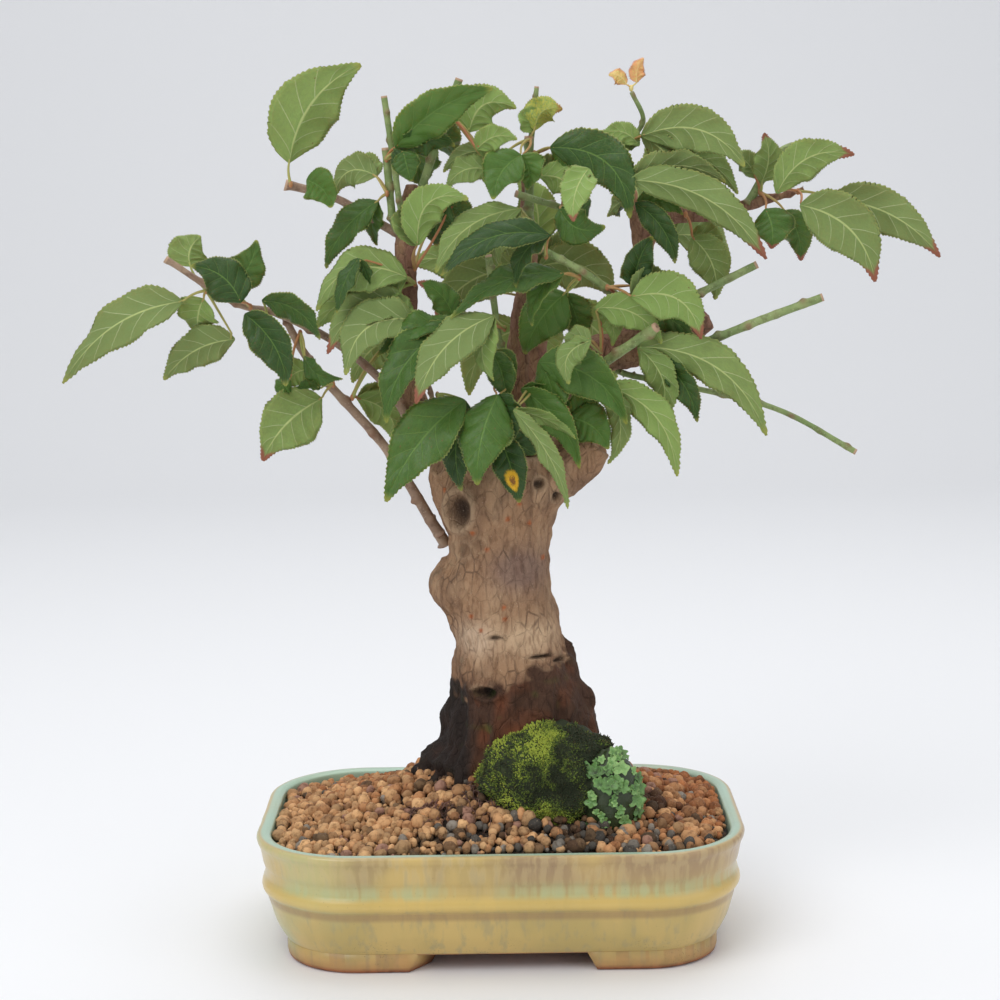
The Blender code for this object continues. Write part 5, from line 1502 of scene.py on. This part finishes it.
def leaf_blade(skin, settings, home, leaf, shift, seed, mark=(0.0, 0.0), young=False):
    """Leaf: ribs across a bowed midrib, folded up along it, puckered, and toothed all round."""
    rows, columns = settings.rows, 6
    t = np.linspace(0.0, 0.985, rows)
    spine, along, upper, lift, (foot, _, _) = leaf_track(leaf, shift, t)
    side = np.cross(along, upper)
    breadth = leaf[7] * MM * LEAF_SCALE
    knots = np.linspace(-0.1, 1.1, 241)
    wide = np.convolve(blade_width(np.clip(knots, 0, 1)), np.ones(15) / 15, "same")
    half = np.interp(t, knots, wide) * breadth / 2
    half = half * np.clip(t / 0.035, 0.0, 1.0) ** 0.6 + PETIOLE * (1 - np.clip(t / 0.035, 0, 1))
    u = np.linspace(-1, 1, 2 * columns + 1)
    top, low = u, u[1:-1][::-1]
    both = np.concatenate([top, low])
    below = np.concatenate([np.zeros(len(top)), np.ones(len(low))])
    below[0] = below[2 * columns] = 0.5
    size = np.abs(both)[None, :]
    r = [float(hashed(seed, k)) for k in range(8)]
    sway = np.where(both < 0, 0.45, 0.0) + r[6]
    teeth = t * settings.teeth + 0.15 * np.sin(t * 31 + seed)
    saw = (teeth % 1.0) * np.clip(t / 0.1, 0, 1) * np.clip((1 - t) / 0.06, 0, 1)
    edge = np.clip((size - 0.72) / 0.28, 0, 1)
    width = half[:, None] * (1 + 0.03 * np.sin(9 * t + r[0] * 6)[:, None])
    reach = both[None, :] * width + np.sign(both)[None, :] * edge * (saw * settings.tooth)[:, None]
    fold = np.radians(8 + 24 * r[1] + 12 * np.sin(3.4 * t + r[2] * 5))[:, None]
    out = reach * np.cos(fold)
    raised = np.abs(reach) * np.sin(fold)
    raised = raised - np.abs(reach) * size * (0.18 + 0.3 * r[3]) * np.clip(1.2 - t, 0, 1)[:, None]
    step = (t[:, None] - size * 0.26 + size ** 2 * 0.07) * 6.2 + sway[None, :] + 0.5
    ribs = np.abs(np.sin(np.pi * step)) ** 0.8
    mound = (ribs - 0.5) * settings.pucker * np.clip(half / 0.008, 0, 1)[:, None]
    mound = mound * (1 - size ** 3) * np.clip(size / 0.12, 0, 1)
    ripple = np.sin(t * (11 + 6 * r[4]) + r[5] * 6)[:, None] * np.sign(both)[None, :]
    ripple = ripple + np.sin(t * (19 + 5 * r[6]) + r[7] * 6)[:, None]
    ripple = ripple * size ** 2 * 0.00115 * np.clip(half / 0.008, 0, 1)[:, None]
    thick = 0.00016 * (1 - size ** 4) * np.where(below > 0.6, -1.0, 1.0)
    rib = np.where(below > 0.6, -1.0, 0.4) * 0.00035 * np.exp(-(size / 0.07) ** 2)
    rise = raised + mound + ripple + thick + rib * np.clip(1.1 - t, 0, 1)[:, None]
    curl = np.clip((t - 0.80) / 0.2, 0, 1)[:, None] ** 2 * (r[1] - 0.4) * 0.006
    grid = spine[:, None] + side[:, None] * out[:, :, None] + upper[:, None] * (rise + curl)[:, :, None]
    points, quads, tris = closed_grid(grid)
    count = len(both)
    end = [0.0, 0.0]
    flat = dict(
        across=np.concatenate([np.tile(both, rows), end]),
        along=np.concatenate([np.repeat(t, count), [0.0, 1.0]]),
        under=np.concatenate([np.tile(below, rows), [0.5, 0.5]]))
    skin.add(points, quads, tris, tone=r[0], dry=mark[0], spot=mark[1], sway=r[6], **flat)
    ahead = foot - home
    share = np.linspace(0, 1.0, 12)[:, None]
    stalk = home + ahead * share + lift * np.linalg.norm(ahead) * STALK_BOW * share * (1 - share)
    stalk[-1] += along[0] * 0.002
    radii = PETIOLE * (1.15 - 0.45 * share.ravel()) * (0.7 if young else 1.0)
    radii[0] *= 1.5
    points, quads, tris = closed_grid(tube_grid(stalk, radii, 9))
    skin.add(points, quads, tris, tone=r[3], dry=0.0, spot=0.0, sway=0.0, across=0.0, along=-1.0,
             under=0.5)


def inner_leaf(leaf, seed):
    """A smaller leaf of the same bud: the large one's line turned aside and set further back."""
    a0, u0, d0, a1, u1, d1, bow, breadth, turn, face = leaf
    swing = np.radians(28 + 26 * hashed(seed, 31.0)) * (1 if hashed(seed, 32.0) > 0.5 else -1)
    reach = 0.50 + 0.22 * hashed(seed, 33.0)
    across, up = a1 - a0, u1 - u0
    a2 = a0 + (across * np.cos(swing) - up * np.sin(swing)) * reach
    u2 = u0 + (across * np.sin(swing) + up * np.cos(swing)) * reach
    d2 = d0 + (d1 - d0) * reach + 9
    return a0, u0, d0 + 2, a2, u2, d2, bow * 0.7, breadth * 0.72, turn * 0.6 + 20, face


def leaves_pieces(settings, paint, young_paint):
    """Sprays: the leaves that share a bud, each hung where the solid one was settled."""
    for order, (name, (home, rows)) in enumerate(settle().items()):
        skin = Skin()
        young = name == "leaves_young"
        directions, quads, tris = ball(9, 6)
        bud = home + directions * BUD * np.array([0.9, 0.9, 1.35])
        skin.add(bud, quads, tris, tone=0.9, dry=0.0, spot=0.0, sway=0.0, across=0.0, along=-1.0,
                 under=0.5)
        for number, (leaf, shift) in enumerate(rows):
            if shift is not None:
                seed = order * 7 + number
                burnt = name.startswith("leaves_end") or hashed(seed, 9.0) < 0.14
                yellow = name == "leaves_crown_yellow" and number == 0
                spot = float(name == "leaves_front_dark" and number == 2)
                mark = (1.0 if yellow else 0.6 if burnt else 0.0, spot)
                leaf_blade(skin, settings, home, leaf, shift, seed, mark, young)
                if not young and abs(leaf[0] - 20) < 95:
                    small = inner_leaf(leaf, seed)
                    leaf_blade(skin, settings, home, small, shift, seed + 500, (0.0, 0.0))
        thing = skin.make(name + "_spray", young_paint if young else paint)
        place(thing, "young_leaf" if young else "leaf", name)


# ---- Settings -----------------------------------------------------------------------

def colour(name, text, value):
    """A colour setting with its label, its description and its default."""
    return FloatVectorProperty(name=name, description=text, default=value, size=3, min=0, max=1,
                               subtype="COLOR")


class BonsaiPot(bpy.types.PropertyGroup):
    ochre: colour("Ochre", "Main colour of the glaze", (0.58, 0.41, 0.135))
    olive: colour("Olive", "Second colour of the glaze", (0.47, 0.35, 0.115))
    mint: colour("Mint", "Colour where the glaze ran thick", (0.44, 0.48, 0.235))
    rim: colour("Rim", "Turquoise of the rim and inside", (0.36, 0.53, 0.41))


class BonsaiSoil(bpy.types.PropertyGroup):
    granule: FloatProperty(name="Granule", description="Radius of a usual granule",
                           default=0.0030, min=0.001, max=0.006, unit="LENGTH")
    tan: colour("Tan", "Dry fired clay", (0.66, 0.385, 0.180))
    rust: colour("Rust", "Moist fired clay", (0.37, 0.135, 0.045))


class BonsaiTree(bpy.types.PropertyGroup):
    voxel: FloatProperty(name="Bark grain", description="Size of the trunk's faces",
                         default=0.00115, min=0.0006, max=0.004, unit="LENGTH")
    bark: colour("Bark", "Main colour of old bark", (0.34, 0.198, 0.110))


class BonsaiLeaves(bpy.types.PropertyGroup):
    rows: IntProperty(name="Rows", description="Ribs across a leaf", default=91, min=20, max=200)
    teeth: FloatProperty(name="Teeth", description="Teeth along one margin", default=30.0)
    tooth: FloatProperty(name="Tooth", description="How far a tooth stands out",
                         default=0.0011, unit="LENGTH")
    pucker: FloatProperty(name="Pucker", description="Rise of the blade between its veins",
                          default=0.0010, unit="LENGTH")
    dark_green: colour("Dark green", "Upper side of an old leaf", (0.022, 0.060, 0.011))
    mid_green: colour("Mid green", "Upper side of a fresh leaf", (0.078, 0.168, 0.024))
    pale_green: colour("Pale green", "Underside", (0.178, 0.248, 0.074))


class BonsaiStage(bpy.types.PropertyGroup):
    floor: colour("Floor", "Plain pale floor", (0.86, 0.86, 0.87))
    key: FloatProperty(name="Key light", description="Strength of the main light", default=21.0)


class BONSAI_OT_pot(bpy.types.Operator):
    """Glazed wall, feet and drain meshes"""
    bl_idname = "bonsai.pot"
    bl_label = "Pot"

    def execute(self, context):
        paint = glaze_paint(context.scene.bonsai_pot)
        pot_piece(paint)
        feet_piece(paint)
        drain_pieces(net_paint())
        return {"FINISHED"}


class BONSAI_OT_soil(bpy.types.Operator):
    """Soil bed, granules and fine roots"""
    bl_idname = "bonsai.soil"
    bl_label = "Soil"

    def execute(self, context):
        soil_piece(humus_paint())
        granules_piece(context.scene.bonsai_soil, stone_paint("clay_granules"))
        roots_piece(twig_paint("root", (0.10, 0.05, 0.035), (0.20, 0.09, 0.06), (0.3, 0.2, 0.1)))
        return {"FINISHED"}


class BONSAI_OT_tree(bpy.types.Operator):
    """Trunk with its limbs, side branches and shoots"""
    bl_idname = "bonsai.tree"
    bl_label = "Tree"

    def execute(self, context):
        trunk_piece(context.scene.bonsai_tree, bark_paint())
        branches_piece(twig_paint("young_bark", (0.25, 0.155, 0.10), (0.34, 0.23, 0.15),
                                  (0.50, 0.40, 0.30)))
        shoots_piece(twig_paint("green_shoot", (0.17, 0.24, 0.075), (0.26, 0.33, 0.12),
                                (0.42, 0.45, 0.26)))
        return {"FINISHED"}


class BONSAI_OT_moss(bpy.types.Operator):
    """Moss mound and liverwort at the foot of the trunk"""
    bl_idname = "bonsai.moss"
    bl_label = "Moss and liverwort"

    def execute(self, context):
        moss_pieces(green_paint("moss", (0.022, 0.030, 0.010), (0.115, 0.165, 0.020),
                                (0.34, 0.40, 0.05), 0.85, 500.0))
        liverwort_piece(green_paint("liverwort", (0.028, 0.045, 0.014), (0.13, 0.27, 0.07),
                                    (0.27, 0.45, 0.15), 0.42, 700.0))
        return {"FINISHED"}


class BONSAI_OT_leaves(bpy.types.Operator):
    """Leaf sprays"""
    bl_idname = "bonsai.leaves"
    bl_label = "Leaves"

    def execute(self, context):
        settings = context.scene.bonsai_leaves
        leaves_pieces(settings, leaf_paint(settings), young_leaf_paint())
        return {"FINISHED"}


class BONSAI_OT_stage(bpy.types.Operator):
    """Floor, soft light and camera"""
    bl_idname = "bonsai.stage"
    bl_label = "Stage"

    def execute(self, context):
        settings = context.scene.bonsai_stage
        p = Paint("floor", 0.65)
        p.set("Base Color", full(settings.floor))
        turn = np.linspace(0, np.pi / 2, 24)
        depth = np.concatenate([[-3.0, 1.6], 1.6 + 0.8 * np.sin(turn), [2.4]])
        height = np.concatenate([[0.0, 0.0], 0.8 - 0.8 * np.cos(turn), [5.0]])
        width = np.linspace(-4, 4, 9)
        grid = np.stack([np.broadcast_to(width, (len(depth), 9)),
                         np.broadcast_to(depth[:, None], (len(depth), 9)),
                         np.broadcast_to(height[:, None], (len(depth), 9))], -1)
        skin = Skin()
        skin.add(grid.reshape(-1, 3) - [0, 0, 0.0002], grid_faces(len(depth), 9, False), [])
        skin.make("floor", p.material)
        world = bpy.data.worlds.new("soft_room")
        world.use_nodes = True
        world.node_tree.nodes["Background"].inputs[0].default_value = (0.93, 0.96, 1.0, 1.0)
        world.node_tree.nodes["Background"].inputs[1].default_value = 0.56
        context.scene.world = world
        for name, spot, size, power in (
                ("key", (-0.9, -1.2, 1.7), 1.4, settings.key),
                ("fill", (1.5, -1.0, 0.9), 1.6, settings.key * 0.28),
                ("top", (0.2, 0.5, 1.9), 1.6, settings.key * 0.7)):
            lamp = bpy.data.lights.new(name, "AREA")
            lamp.energy = power
            lamp.size = size
            thing = bpy.data.objects.new(name, lamp)
            thing.location = spot
            way = Vector((0, 0, 0.2)) - Vector(spot)
            thing.rotation_euler = way.to_track_quat("-Z", "Y").to_euler()
            context.scene.collection.objects.link(thing)
        context.scene.view_settings.view_transform = "Standard"
        camera = bpy.data.cameras.new("front")
        camera.lens = LENS
        camera.sensor_width = SENSOR
        thing = bpy.data.objects.new("front", camera)
        basis = Matrix((RIGHT, UPRIGHT, -FORWARD)).transposed()
        thing.matrix_world = Matrix.Translation(Vector(EYE * MM)) @ basis.to_4x4()
        context.scene.collection.objects.link(thing)
        context.scene.camera = thing
        return {"FINISHED"}


class BONSAI_PT_panel(bpy.types.Panel):
    """Sizes and colours of the bonsai, and its pieces"""
    bl_label = "Bonsai in a pot"
    bl_idname = "BONSAI_PT_panel"
    bl_space_type = "VIEW_3D"
    bl_region_type = "UI"
    bl_category = "Bonsai"

    def draw(self, context):
        for name, group in GROUPS.items():
            settings = getattr(context.scene, name)
            box = self.layout.box()
            for label in group.__annotations__:
                box.prop(settings, label)
        for step in STEPS:
            self.layout.operator(step.bl_idname)


GROUPS = {"bonsai_pot": BonsaiPot, "bonsai_soil": BonsaiSoil, "bonsai_tree": BonsaiTree,
          "bonsai_leaves": BonsaiLeaves, "bonsai_stage": BonsaiStage}
STEPS = (BONSAI_OT_pot, BONSAI_OT_soil, BONSAI_OT_tree, BONSAI_OT_moss, BONSAI_OT_leaves,
         BONSAI_OT_stage)


def register():
    for group in (*GROUPS.values(), *STEPS, BONSAI_PT_panel):
        bpy.utils.register_class(group)
    for name, group in GROUPS.items():
        setattr(bpy.types.Scene, name, PointerProperty(type=group))


def unregister():
    for name in GROUPS:
        delattr(bpy.types.Scene, name)
    for group in reversed((*GROUPS.values(), *STEPS, BONSAI_PT_panel)):
        bpy.utils.unregister_class(group)


def main():
    register()
    bpy.ops.bonsai.pot()
    bpy.ops.bonsai.soil()
    bpy.ops.bonsai.tree()
    bpy.ops.bonsai.moss()
    bpy.ops.bonsai.leaves()
    bpy.ops.bonsai.stage()


if __name__ == "__main__":
    main()
